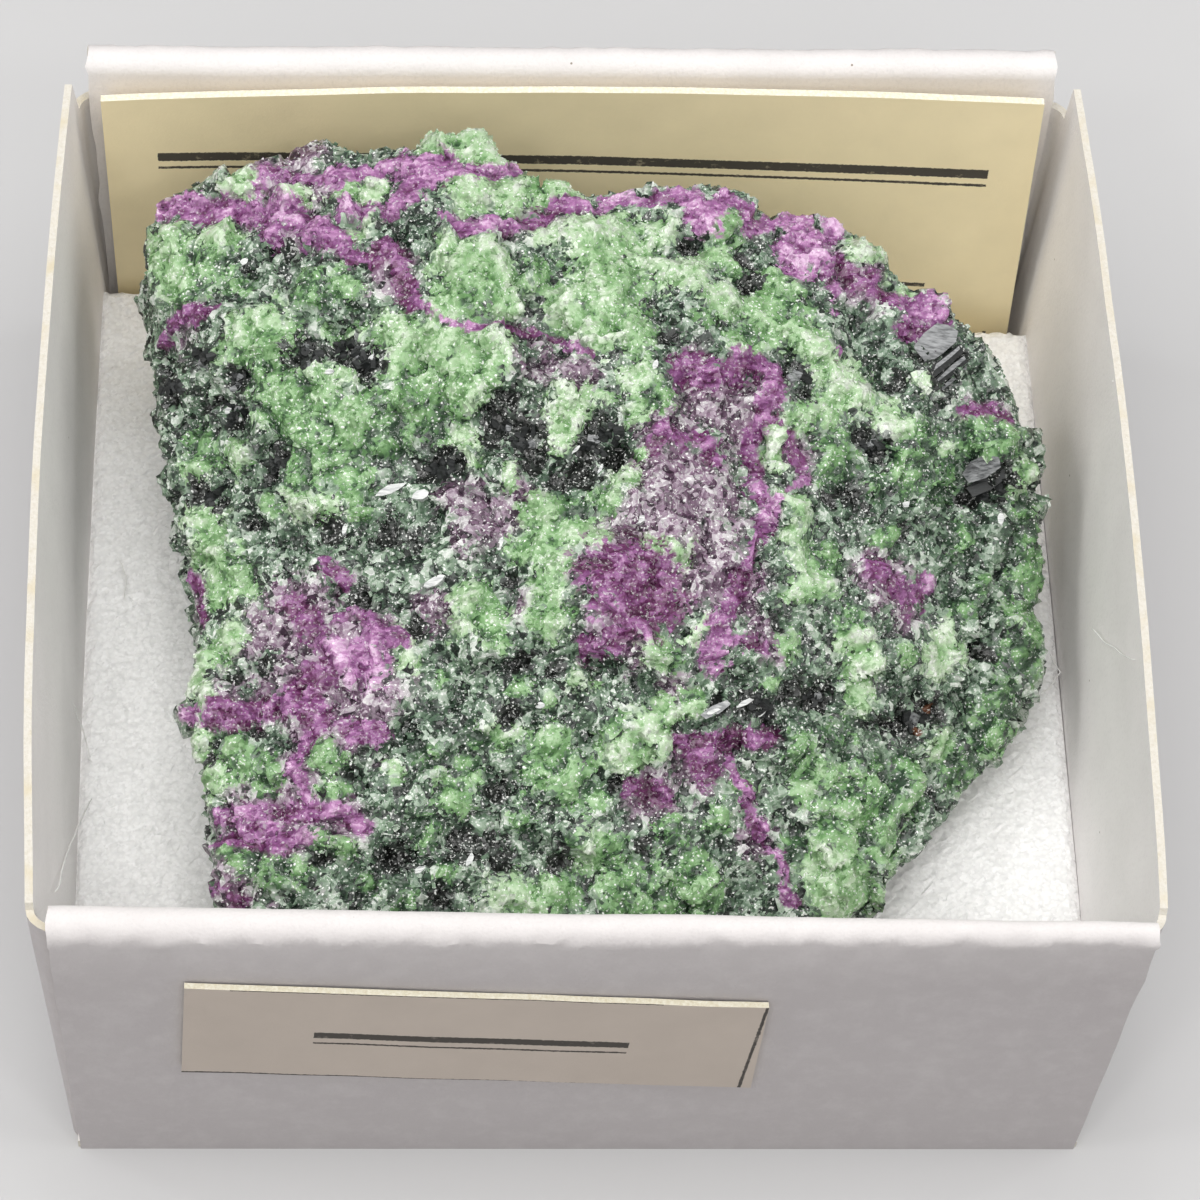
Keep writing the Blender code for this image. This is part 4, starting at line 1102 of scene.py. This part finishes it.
def minerals_at(points, surface):
    """How strongly each mineral claims each point: a dict of arrays from 0 to 1."""
    warped = points + noise_vectors(points, 0.8, 1) * 0.34 + noise_vectors(points, 2.3, 2) * 0.14
    ruby, pink, zoisite, bright = np.zeros((4, len(points)))
    claims = [(vein(warped, [surface.seen(*spot) for spot in row[2:]], row[0]), row[1]) for row in RUBY_VEINS]
    claims += [(patch(warped, surface.seen(px, py), size), rose) for px, py, size, rose in RUBY_KNOBS]
    for here, pinkness in claims:
        ruby = np.maximum(ruby, here)
        pink = np.maximum(pink, np.clip(here * 2.0, 0.0, 1.0) * pinkness)
    for px, py, radius, brightness in ZOISITE:
        here = patch(warped, surface.seen(px, py), radius)
        bright += (brightness - bright) * np.clip((here - zoisite) * 4.0 + 0.5, 0.0, 1.0)
        zoisite = np.maximum(zoisite, here)

    def patches(groups):
        """The strongest of many patches at each point."""
        best = np.zeros(len(points))
        for radius, *spots in groups:
            for spot in spots:
                best = np.maximum(best, patch(warped, surface.seen(*spot), radius))
        return best

    dark, black, mauve, rust = (patches(groups) for groups in (DARK, BLACK, MAUVE, RUST))
    # Where the picture shows nothing, the same minerals run on in bands and patches.
    hidden = hidden_share(points)
    slow = noise_at(points * (0.5, 1.0, 1.4), 0.28, 5)
    mid = noise_at(points, 0.42, 6) + 0.5 * noise_at(points, 1.1, 7)
    ruby_there = np.clip(0.42 + 2.0 * (0.12 - np.abs(slow)) + 0.35 * mid, 0.0, 0.9)
    ruby = np.maximum(ruby, hidden * ruby_there)
    mauve = np.maximum(mauve, hidden * np.clip(ruby_there + 0.25, 0.0, 1.0))
    zoisite = np.maximum(zoisite, hidden * np.clip(0.40 + 1.3 * mid, 0.0, 1.0))
    dark = np.maximum(dark, hidden * np.clip(0.36 - 1.5 * mid, 0.0, 1.0))
    black = np.maximum(black, hidden * np.clip(0.30 + 1.2 * noise_at(points, 0.8, 14), 0.0, 1.0))
    bright = bright * (1 - hidden) + hidden * np.clip(0.45 + slow, 0.0, 1.0)
    pink = np.maximum(pink, hidden * np.clip(noise_at(points, 0.9, 8), 0.0, 1.0) * 0.9)
    names = ("ruby", "pink", "zoisite", "bright", "dark", "black", "mauve", "rust")
    return dict(zip(names, (ruby, pink, zoisite, bright, dark, black, mauve, rust)))


# ------------------------------------------------------------------ stone: its shape

STONE_VOXEL = 0.2
STONE_SMOOTHING = 5
STONE_SEAT = 5.76  # its foot sinks a hair into the foam
# Ridges and hollows of this height get the full painted light and shade.
PROUD_HEIGHT = 0.16  # what counts as a full ridge or hollow
ROUGHNESS = 0.012
FOOT_TOP = 7.0  # below this height the foot is pressed down
FOOT_SINK = 0.32


def remeshed(node):
    """The node's mesh, evened out into small quads: points in millimetres and faces."""
    copy = bpy.data.objects.new("remesh_copy", node.data.copy())
    bpy.context.scene.collection.objects.link(copy)
    modifier = copy.modifiers.new("even", "REMESH")
    modifier.mode = "VOXEL"
    modifier.voxel_size = STONE_VOXEL * MM
    graph = bpy.context.evaluated_depsgraph_get()
    mesh = bpy.data.meshes.new_from_object(copy.evaluated_get(graph))
    points = np.zeros(len(mesh.vertices) * 3)
    mesh.vertices.foreach_get("co", points)
    faces = np.array([tuple(face.vertices) for face in mesh.polygons if len(face.vertices) == 4])
    bpy.data.objects.remove(copy)
    bpy.data.meshes.remove(mesh)
    return points.reshape(-1, 3) / MM, faces


def edges_of(faces):
    """Each edge once, as its two points."""
    pairs = np.concatenate([faces[:, [corner, (corner + 1) % 4]] for corner in range(4)])
    return np.unique(np.sort(pairs, axis=1), axis=0)


def smoothed(values, edges, rounds):
    """Averages each vertex with its neighbours."""
    degree = np.bincount(edges.ravel(), minlength=len(values)).astype(float)
    for _ in range(rounds):
        total = np.zeros_like(values)
        np.add.at(total, edges[:, 0], values[edges[:, 1]])
        np.add.at(total, edges[:, 1], values[edges[:, 0]])
        shape = (-1, 1) if values.ndim == 2 else (-1,)
        values = 0.5 * values + 0.5 * total / degree.reshape(shape)
    return values


def normals_of(points, faces):
    """The direction outward at each point of a mesh of quads."""
    a, b, c, d = (points[faces[:, corner]] for corner in range(4))
    face_normals = np.cross(c - a, d - b)
    total = np.zeros_like(points)
    for corner in range(4):
        np.add.at(total, faces[:, corner], face_normals)
    return total / np.maximum(np.linalg.norm(total, axis=1), 1e-12)[:, None]


def cell_planes(points, size, seed):
    """Height of a broken surface whose cells each have a plane and a level of their own."""
    shift = Vector((seed * 1.7, seed * 4.1, seed * 2.3))
    heights = np.zeros(len(points))
    levels = np.zeros(len(points))
    for index, point in enumerate(points):
        where = Vector(point) / size + shift
        centre = noise.voronoi(where)[1][0]
        random = noise.cell_vector(centre * 9.7)
        tilt = random - Vector((0.5, 0.5, 0.5))
        heights[index] = (where - centre).dot(tilt) * 2.0 * size
        levels[index] = random[0] - 0.5
    return heights, levels


def stone_shape(node, surface):
    """The stone's fine surface: points, faces and the minerals at each point."""
    points, faces = remeshed(node)
    edges = edges_of(faces)
    points = smoothed(points, edges, STONE_SMOOTHING)
    normals = normals_of(points, faces)
    minerals = minerals_at(points, surface)
    crumbs, levels = cell_planes(points, 0.6, 3)
    breaks, steps = cell_planes(points, 1.5, 4)
    offset = 0.42 * breaks + 0.22 * steps + 0.20 * crumbs + 0.10 * levels
    offset += 0.10 * noise_at(points, 0.9, 9)
    offset += 0.60 * smoothed(np.clip(minerals["zoisite"] - 0.35, 0.0, 1.0), edges, 2)
    offset -= 0.30 * smoothed(np.clip(minerals["dark"] - 0.35, 0.0, 1.0), edges, 2)
    offset -= 0.75 * smoothed(np.clip(minerals["black"] - 0.40, 0.0, 1.0), edges, 1)
    offset += 0.20 * np.clip(minerals["ruby"] - 0.4, 0.0, 1.0)
    for depth, half_width, *course in CRACKS:
        spots = [surface.seen(*spot) for spot in course]
        near = distance_to_course(points + noise_vectors(points, 0.9, 12) * 0.3, spots)
        offset -= depth * np.clip(1.0 - near / (2.0 * half_width), 0.0, 1.0) ** 1.5
    points = points + normals * offset[:, None]
    # How far each point stands out from its surroundings: ridges are painted pale and hollows painted dark,
    # as painted light and shade.
    proud = ((points - smoothed(points, edges, 10)) * normals).sum(axis=1)
    minerals["proud"] = np.clip(proud / PROUD_HEIGHT, -1.0, 1.0)
    random = np.random.default_rng(5)
    points += random.normal(0.0, ROUGHNESS, points.shape)
    sink = np.clip((FOOT_TOP - points[:, 2]) / 0.9, 0.0, 1.0)
    points[:, 2] -= sink * FOOT_SINK
    points[:, 2] = np.maximum(points[:, 2], STONE_SEAT)
    return points, faces, minerals


# ------------------------------------------------------------------ stone: its look


def stone_material(name, grain=False):
    """Ruby, zoisite and amphibole. The body is cells of many sizes; a grain has one shade of its own."""
    nodes = Nodes(name)
    place = nodes.where()
    cloud_colour = nodes.noise(place, 1.3, 1.5, 0.6, "Color")
    cloud = nodes.math("SUBTRACT", nodes.channel(cloud_colour, "Red"), 0.5)
    moved = nodes.vector("ADD", place, nodes.vector("SCALE", cloud_colour, 0.4))
    streak = nodes.noise(nodes.vector("MULTIPLY", moved, (0.45, 1.6, 1.6)), 2.6, 3.0, 0.6)
    streak = nodes.math("SUBTRACT", streak, 0.5)
    sugar = nodes.cells(moved, 7.5)
    sugar_near = sugar.node.outputs["Distance"]
    if grain:
        shade = nodes.attribute("grain")
        other = nodes.math("FRACT", nodes.times(shade, 57.31))
    else:
        body = nodes.cells(moved, 2.7)
        shade, other = nodes.channel(body, "Red"), nodes.channel(body, "Green")
    small, which, glint = (nodes.channel(sugar, part) for part in ("Red", "Green", "Blue"))
    waver = nodes.add(nodes.times(cloud, 0.45), nodes.span(other, 0.0, 1.0, -0.16, 0.16))
    waver = nodes.add(waver, nodes.span(small, 0.0, 1.0, -0.10, 0.10))
    # Painted light on ridges and painted shade in hollows.
    proud = nodes.attribute("proud")

    def claim(mineral, low, high):
        return nodes.step(nodes.add(nodes.attribute(mineral), waver), low, high)

    # Each tone takes in some of the painted ridge light and hollow shade.
    def toned(base, per_cloud, per_shade, per_small, per_proud, streaky=False):
        total = nodes.add(base, nodes.times(streak if streaky else cloud, per_cloud))
        total = nodes.add(total, nodes.span(shade, 0.0, 1.0, -per_shade / 2, per_shade / 2))
        total = nodes.add(total, nodes.times(proud, per_proud))
        return nodes.add(total, nodes.span(small, 0.0, 1.0, -per_small / 2, per_small / 2), clamp=True)

    # Between the patches: dark green ground peppered with grey and pale grains.
    ground = nodes.ramp(
        toned(0.46, 0.5, 1.0, 0.45, 0.18),
        (0.0, 0.011, 0.018, 0.014), (0.22, 0.036, 0.058, 0.042), (0.45, 0.108, 0.178, 0.112),
        (0.66, 0.215, 0.315, 0.215), (0.86, 0.41, 0.50, 0.405), (1.0, 0.66, 0.71, 0.65),
    )
    mauve = nodes.ramp(
        toned(0.47, 0.5, 0.9, 0.45, 0.18),
        (0.0, 0.030, 0.014, 0.028), (0.28, 0.115, 0.062, 0.105), (0.52, 0.25, 0.160, 0.235),
        (0.78, 0.42, 0.355, 0.41), (1.0, 0.64, 0.62, 0.63),
    )
    paleness = nodes.math("SUBTRACT", 0.70, nodes.times(nodes.attribute("bright"), 0.50))
    green = nodes.ramp(
        toned(paleness, 0.9, 0.24, 0.24, 0.24),
        (0.0, 0.026, 0.058, 0.030), (0.13, 0.070, 0.145, 0.066), (0.27, 0.145, 0.300, 0.112),
        (0.50, 0.275, 0.465, 0.220), (0.75, 0.46, 0.61, 0.40), (1.0, 0.70, 0.77, 0.66),
    )
    deep = nodes.ramp(
        toned(0.53, 0.6, 0.9, 0.45, 0.2),
        (0.0, 0.008, 0.013, 0.009), (0.30, 0.023, 0.043, 0.028), (0.60, 0.066, 0.118, 0.074),
        (0.85, 0.165, 0.255, 0.172), (1.0, 0.42, 0.51, 0.42),
    )
    black = nodes.ramp(
        toned(0.27, 0.6, 0.8, 0.45, 0.15),
        (0.0, 0.005, 0.006, 0.005), (0.5, 0.020, 0.025, 0.021), (0.8, 0.10, 0.12, 0.105),
        (1.0, 0.36, 0.39, 0.36),
    )
    rose = nodes.add(0.22, nodes.times(nodes.attribute("pink"), 0.52))
    red = nodes.ramp(
        toned(rose, 1.3, 0.22, 0.14, 0.22, True),
        (0.0, 0.055, 0.008, 0.036), (0.22, 0.135, 0.026, 0.105), (0.46, 0.255, 0.090, 0.245),
        (0.72, 0.455, 0.200, 0.425), (1.0, 0.72, 0.49, 0.69),
    )
    colour = nodes.mix(claim("mauve", 0.36, 0.66), ground, mauve)
    colour = nodes.mix(claim("dark", 0.40, 0.64), colour, deep)
    colour = nodes.mix(claim("zoisite", 0.40, 0.60), colour, green)
    colour = nodes.mix(claim("black", 0.45, 0.56), colour, black)
    gem = claim("ruby", 0.36, 0.62)
    colour = nodes.mix(gem, colour, red)
    colour = nodes.mix(nodes.step(nodes.attribute("rust"), 0.45, 0.6), colour, (0.11, 0.035, 0.01))
    # Tiny pale specks over everything, in clusters of uneven size, and a few crisp ones: partly pale grains,
    # partly painted glints where crystal faces would flash.
    speck_noise = nodes.noise(place, 8.5, 1.0, 0.5)
    clusters = nodes.times(cloud, 0.2)
    grain_and_glint = nodes.step(nodes.add(speck_noise, clusters), 0.60 if grain else 0.64, 0.69)
    grain_and_glint = nodes.times(grain_and_glint, nodes.span(small, 0.0, 1.0, 0.3, 1.0))
    # Crisp white dots on a few cells: painted glints.
    painted_glint = nodes.times(nodes.step(glint, 0.90, 0.94), nodes.step(sugar_near, 0.42, 0.26))
    grain_and_glint = nodes.math("MAXIMUM", grain_and_glint, nodes.times(painted_glint, 0.85))
    grain_and_glint = nodes.times(grain_and_glint, nodes.span(gem, 0.0, 1.0, 1.0, 0.5))
    # The specks are painted near white: painted highlight over the mineral colours.
    colour = nodes.mix(grain_and_glint, colour, (0.88, 0.90, 0.87))
    # Each little crystal has a face of its own.
    facing = nodes.tilted((sugar, 0.7)) if grain else nodes.tilted((sugar, 0.7), (body, 0.7))
    roughness = nodes.span(which, 0.0, 1.0, 0.16, 0.5)
    nodes.surface(colour, roughness, facing, IOR=1.66)
    return nodes.material


BOX_FACES = np.array(
    ((0, 2, 3, 1), (4, 5, 7, 6), (0, 1, 5, 4), (2, 6, 7, 3), (0, 4, 6, 2), (1, 3, 7, 5))
)
BOX_CORNERS = np.array([(x, y, z) for z in (-1, 1) for y in (-1, 1) for x in (-1, 1)], float) * 0.5


def turns(random, count):
    """Random rotation matrices."""
    q = random.normal(size=(count, 4))
    q /= np.linalg.norm(q, axis=1)[:, None]
    w, x, y, z = q.T
    rows = (
        (1 - 2 * (y * y + z * z), 2 * (x * y - z * w), 2 * (x * z + y * w)),
        (2 * (x * y + z * w), 1 - 2 * (x * x + z * z), 2 * (y * z - x * w)),
        (2 * (x * z - y * w), 2 * (y * z + x * w), 1 - 2 * (x * x + y * y)),
    )
    return np.stack([np.stack(row, axis=-1) for row in rows], axis=1)


def scatter(name, shape, minerals, wanted, count, sizes, proportions, sink, seed, look):
    """Thousands of small crystals set into the surface where wanted is high, as one mesh.

    sizes are the usual size, its spread, the least and the most, in millimetres. sink is a share of it."""
    points, faces = shape
    random = np.random.default_rng(seed)
    corners = points[faces]
    centres = corners.mean(axis=1)
    normals = np.cross(corners[:, 2] - corners[:, 0], corners[:, 3] - corners[:, 1])
    area = np.linalg.norm(normals, axis=1)
    normals /= np.maximum(area, 1e-12)[:, None]
    weight = area * wanted[faces].mean(axis=1)
    weight *= centres[:, 2] > STONE_SEAT + 0.5
    chosen = random.choice(len(faces), count, p=weight / weight.sum())
    size = random.lognormal(math.log(sizes[0]), sizes[1], count).clip(sizes[2], sizes[3])
    box = BOX_CORNERS[None] * (size[:, None, None] * np.array(proportions)[None, None])
    box = box * random.uniform(0.75, 1.25, (count, 1, 3))
    box += random.normal(0.0, 0.08, box.shape) * size[:, None, None]
    turned = np.einsum("nij,nkj->nki", turns(random, count), box)
    place = centres[chosen] - normals[chosen] * (size * sink)[:, None]
    place += random.normal(0.0, 0.03, place.shape)
    grains = (turned + place[:, None]).reshape(-1, 3)
    each = len(BOX_CORNERS)
    grain_faces = (BOX_FACES[None] + each * np.arange(count)[:, None, None]).reshape(-1, 4)
    piece = new_piece(name, grains, grain_faces, [look])
    source = faces[chosen, 0]
    for mineral, values in minerals.items():
        add_attribute(piece, mineral, np.repeat(values[source], each))
    add_attribute(piece, "grain", np.repeat(random.uniform(0.0, 1.0, count), each))


def make_stone():
    """The stone, its grains and its crystal faces, all built on the CAD stone's own mesh."""
    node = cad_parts["stone"]
    solid = np.zeros(len(node.data.vertices) * 3)
    node.data.vertices.foreach_get("co", solid)
    surface = Surface(solid.reshape(-1, 3) / MM, [face.vertices for face in node.data.polygons])
    points, faces, minerals = stone_shape(node, surface)
    stone = new_piece("rough_stone", points, faces, [stone_material("stone_mass")], True)
    for mineral, values in minerals.items():
        add_attribute(stone, mineral, values)
    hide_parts("stone")
    shape = (points, faces)
    make_flakes(Surface(points, faces))
    look = stone_material("stone_grains", True)
    everywhere = np.ones(len(points))
    sizes, proportions = (0.15, 0.3, 0.08, 0.28), (1.0, 0.8, 0.6)
    scatter("fine_grains", shape, minerals, everywhere, 14000, sizes, proportions, 0.15, 24, look)
    needles = np.clip(0.1 + minerals["dark"] - 0.5 * minerals["zoisite"] - 0.4 * minerals["ruby"], 0.02, 1.0)
    sizes, proportions = (0.32, 0.35, 0.15, 0.7), (1.0, 0.35, 0.3)
    scatter("amphibole_grains", shape, minerals, needles, 5000, sizes, proportions, 0.1, 22, look)


STRIPE_TURN = math.radians(-48.0)


def flake_material():
    """Pearly cleavage faces, striped along their length; their pale and grey shades stand partly for painted
    highlights and reflections.
    """
    nodes = Nodes("cleavage")
    place = nodes.where()
    shade = nodes.attribute("grain")
    turned = {"Vector": place, "Rotation": (0.0, 0.0, STRIPE_TURN), "Scale": (1.6, 11.0, 5.0)}
    stripe = nodes.noise(nodes.new("ShaderNodeMapping", turned).outputs["Vector"], 1.0, 2.0, 0.6)
    tone = nodes.add(shade, nodes.span(stripe, 0.3, 0.7, -0.15, 0.15), clamp=True)
    colour = nodes.ramp(
        tone,
        (0.0, 0.012, 0.014, 0.014), (0.4, 0.07, 0.075, 0.078), (0.7, 0.36, 0.37, 0.38),
        (1.0, 0.82, 0.84, 0.82),
    )
    rough = nodes.add(nodes.span(shade, 0.1, 0.5, 0.28, 0.0), nodes.span(stripe, 0.3, 0.7, 0.2, 0.4))
    nodes.surface(colour, rough, nodes.bump(stripe, 0.4, 0.04), IOR=1.5)
    return nodes.material


SLAB_CORNERS = 8
SLAB_LIFT = 0.10  # how far a slab stands out of the stone
BLOCK_DEPTH = 1.2  # how far the block behind a flat face reaches in
PIXELS_PER_MM = 27.0
# The near-white shade of the flakes is partly painted highlight.
PALE_FLAKE = 0.86
TOWARD_CAMERA = 0.4  # how much a flat face turns to the camera


class Slabs:
    """Collects little slabs and blocks as one mesh, each with a shade of its own."""

    def __init__(self, seed):
        self.random = np.random.default_rng(seed)
        self.points, self.faces, self.shades = [], [], []

    def add(self, centre, normal, along, length, width, depth, shade):
        across = normal.cross(along).normalized()
        along = across.cross(normal).normalized()
        start = len(self.points)
        corners = SLAB_CORNERS
        turn = self.random.uniform(0.0, 1.0)
        uneven = self.random.uniform(0.72, 1.2, corners)
        for lift, reach in ((0.0, 1.0), (-depth, 1.08)):
            for corner in range(corners):
                angle = 2 * math.pi * (corner + turn) / corners
                far = reach * uneven[corner]
                spot = centre + along * (0.5 * length * far * math.cos(angle))
                spot += across * (0.5 * width * far * math.sin(angle)) + normal * lift
                self.points.append(spot)
                self.shades.append(shade)
        low = start + corners
        for corner in range(corners):
            after = (corner + 1) % corners
            self.faces.append((start + corner, low + corner, low + after, start + after))
        for i in range(1, corners - 2, 2):
            self.faces.append((start, start + i, start + i + 1, start + i + 2))
            self.faces.append((low, low + i + 2, low + i + 1, low + i))

    def face(self, fine, corners, lift, shade):
        """A flat face with picture positions as its corners, and the block behind it."""
        px, py = np.mean(corners, axis=0)
        centre, normal = fine.facing(px, py)
        toward = (CAMERA_AT - centre).normalized()
        normal = (normal + toward * TOWARD_CAMERA).normalized()
        centre = centre + normal * lift
        count, start = len(corners), len(self.points)
        for back in (0.0, BLOCK_DEPTH):
            for x, y in corners:
                ray = picture_ray(x, y)
                spot = CAMERA_AT + ray * ((centre - CAMERA_AT).dot(normal) / ray.dot(normal))
                self.points.append(spot - toward * back)
                self.shades.append(shade)
        middle = len(self.points)
        self.points += [centre, centre - toward * BLOCK_DEPTH]
        self.shades += [shade, shade]
        for i in range(count):
            after = (i + 1) % count
            a, b = start + i, start + after
            self.faces.append((a, b, b + count, a + count))
        for i in range(0, count, 2):
            a, b, c = (start + (i + step) % count for step in range(3))
            self.faces.append((middle, c, b, a))
            self.faces.append((middle + 1, a + count, b + count, c + count))


def make_flakes(fine):
    """The cleavage faces that catch the light, the striped black crystals and the clusters of black faces,
    with painted highlights and reflections in their pale and grey shades.
    """
    slabs = Slabs(31)
    for px, py, length, width, turn in FLAKES:
        centre, normal = fine.facing(px, py)
        toward = (CAMERA_AT - centre).normalized()
        normal = (normal * 0.5 + toward * 0.5 + Vector((0.0, 0.1, 0.25))).normalized()
        angle = math.radians(turn)
        along = Vector((math.cos(angle), math.sin(angle), 0.1))
        slabs.add(centre + normal * SLAB_LIFT, normal, along, length, width, 0.5, PALE_FLAKE)
    for shade, lift, *corners in CRYSTAL_FACES:
        slabs.face(fine, corners, lift, shade)
    random = slabs.random
    for px, py, reach, count in BLACK_CRYSTALS:
        for _ in range(count):
            angle = random.uniform(0.0, 2 * math.pi)
            far = PIXELS_PER_MM * reach * math.sqrt(random.random())
            x, y = px + far * math.cos(angle), py + 0.8 * far * math.sin(angle)
            centre, normal = fine.facing(x, y)
            normal = (normal + 0.55 * Vector(random.normal(0.0, 1.0, 3))).normalized()
            along = Vector(random.normal(0.0, 1.0, 3))
            length, width = random.uniform(0.28, 0.55), random.uniform(0.22, 0.36)
            # About one face in eight is painted grey: a painted glint.
            grey = 0.55 if random.random() < 0.12 else random.uniform(0.0, 0.10)
            slabs.add(centre + normal * SLAB_LIFT, normal, along, length, width, 0.4, grey)
    piece = new_piece("cleavage_flakes", slabs.points, slabs.faces, [flake_material()])
    add_attribute(piece, "grain", slabs.shades)


# ------------------------------------------------------------------ dust


def tube(course, radius):
    """A closed thin thread through points."""
    sides = FIBRE_SIDES
    points, faces = [], []
    for index, spot in enumerate(course):
        ahead = course[min(index + 1, len(course) - 1)] - course[max(index - 1, 0)]
        across = ahead.cross(Vector((0.31, 0.2, 1.0))).normalized()
        up = across.cross(ahead).normalized()
        taper = radius * (0.35 if index in (0, len(course) - 1) else 1.0)
        for side in range(sides):
            angle = 2 * math.pi * side / sides
            points.append(tuple(spot + (across * math.cos(angle) + up * math.sin(angle)) * taper))
    for ring in range(len(course) - 1):
        for side in range(sides):
            after = (side + 1) % sides
            base = ring * sides
            faces.append((base + side, base + after, base + sides + after, base + sides + side))
    end = (len(course) - 1) * sides
    for side in range(1, sides - 2, 2):
        faces.append((0, side + 2, side + 1, side))
        faces.append((end, end + side, end + side + 1, end + side + 2))
    return points, faces


# White hairs: thickness, then picture positions and how high above the table each lies.
FIBRES = (
    (0.035, (92, 800, 6.2), (80, 822, 6.8), (68, 850, 8.6), (60, 876, 11.2), (55, 892, 13.2)),
    (0.03, (72, 702, 10.6), (80, 722, 7.6), (88, 745, 6.3), (92, 762, 6.1)),
    (0.03, (1050, 652, 6.1), (1062, 672, 6.3), (1048, 690, 6.1), (1034, 696, 6.0)),
    (0.03, (1092, 628, 12.2), (1104, 640, 13.6), (1118, 652, 15.6), (1136, 660, 18.0)),
    (0.025, (1110, 360, 18.4), (1116, 370, 18.5), (1112, 382, 18.3)),
    (0.025, (118, 560, 6.1), (128, 580, 6.3), (124, 600, 6.1)),
)


FIBRE_SIDES = 6
FIBRE_STEPS = 4  # pieces between two of its positions
FIBRE_CURL = 0.12


def make_fibres():
    """The few white hairs of fluff that lie in the tray."""
    points, faces = [], []
    for number, (radius, *course) in enumerate(FIBRES):
        spots = []
        for px, py, height in course:
            ray = picture_ray(px, py)
            spots.append(CAMERA_AT + ray * ((height - CAMERA_AT.z) / ray.z))
        fine = []
        for a, b in zip(spots, spots[1:]):
            for step in range(FIBRE_STEPS):
                spot = a.lerp(b, step / FIBRE_STEPS)
                fine.append(spot + Vector(noise_vectors([spot], 0.7, number)[0]) * FIBRE_CURL)
        fine.append(spots[-1])
        more_points, more_faces = tube(fine, radius)
        base = len(points)
        points += more_points
        faces += [tuple(base + index for index in face) for face in more_faces]
    nodes = Nodes("fluff")
    tone = nodes.noise(nodes.where(), 2.0, 2.0)
    nodes.surface(nodes.ramp(tone, (0.3, 0.80, 0.79, 0.77), (0.7, 0.92, 0.92, 0.91)), 0.6)
    new_piece("loose_fibres", points, faces, [nodes.material], True)


make_camera()
make_light()
make_floor()
make_tray()
make_pad()
make_name_card()
make_label()
make_stone()
make_fibres()
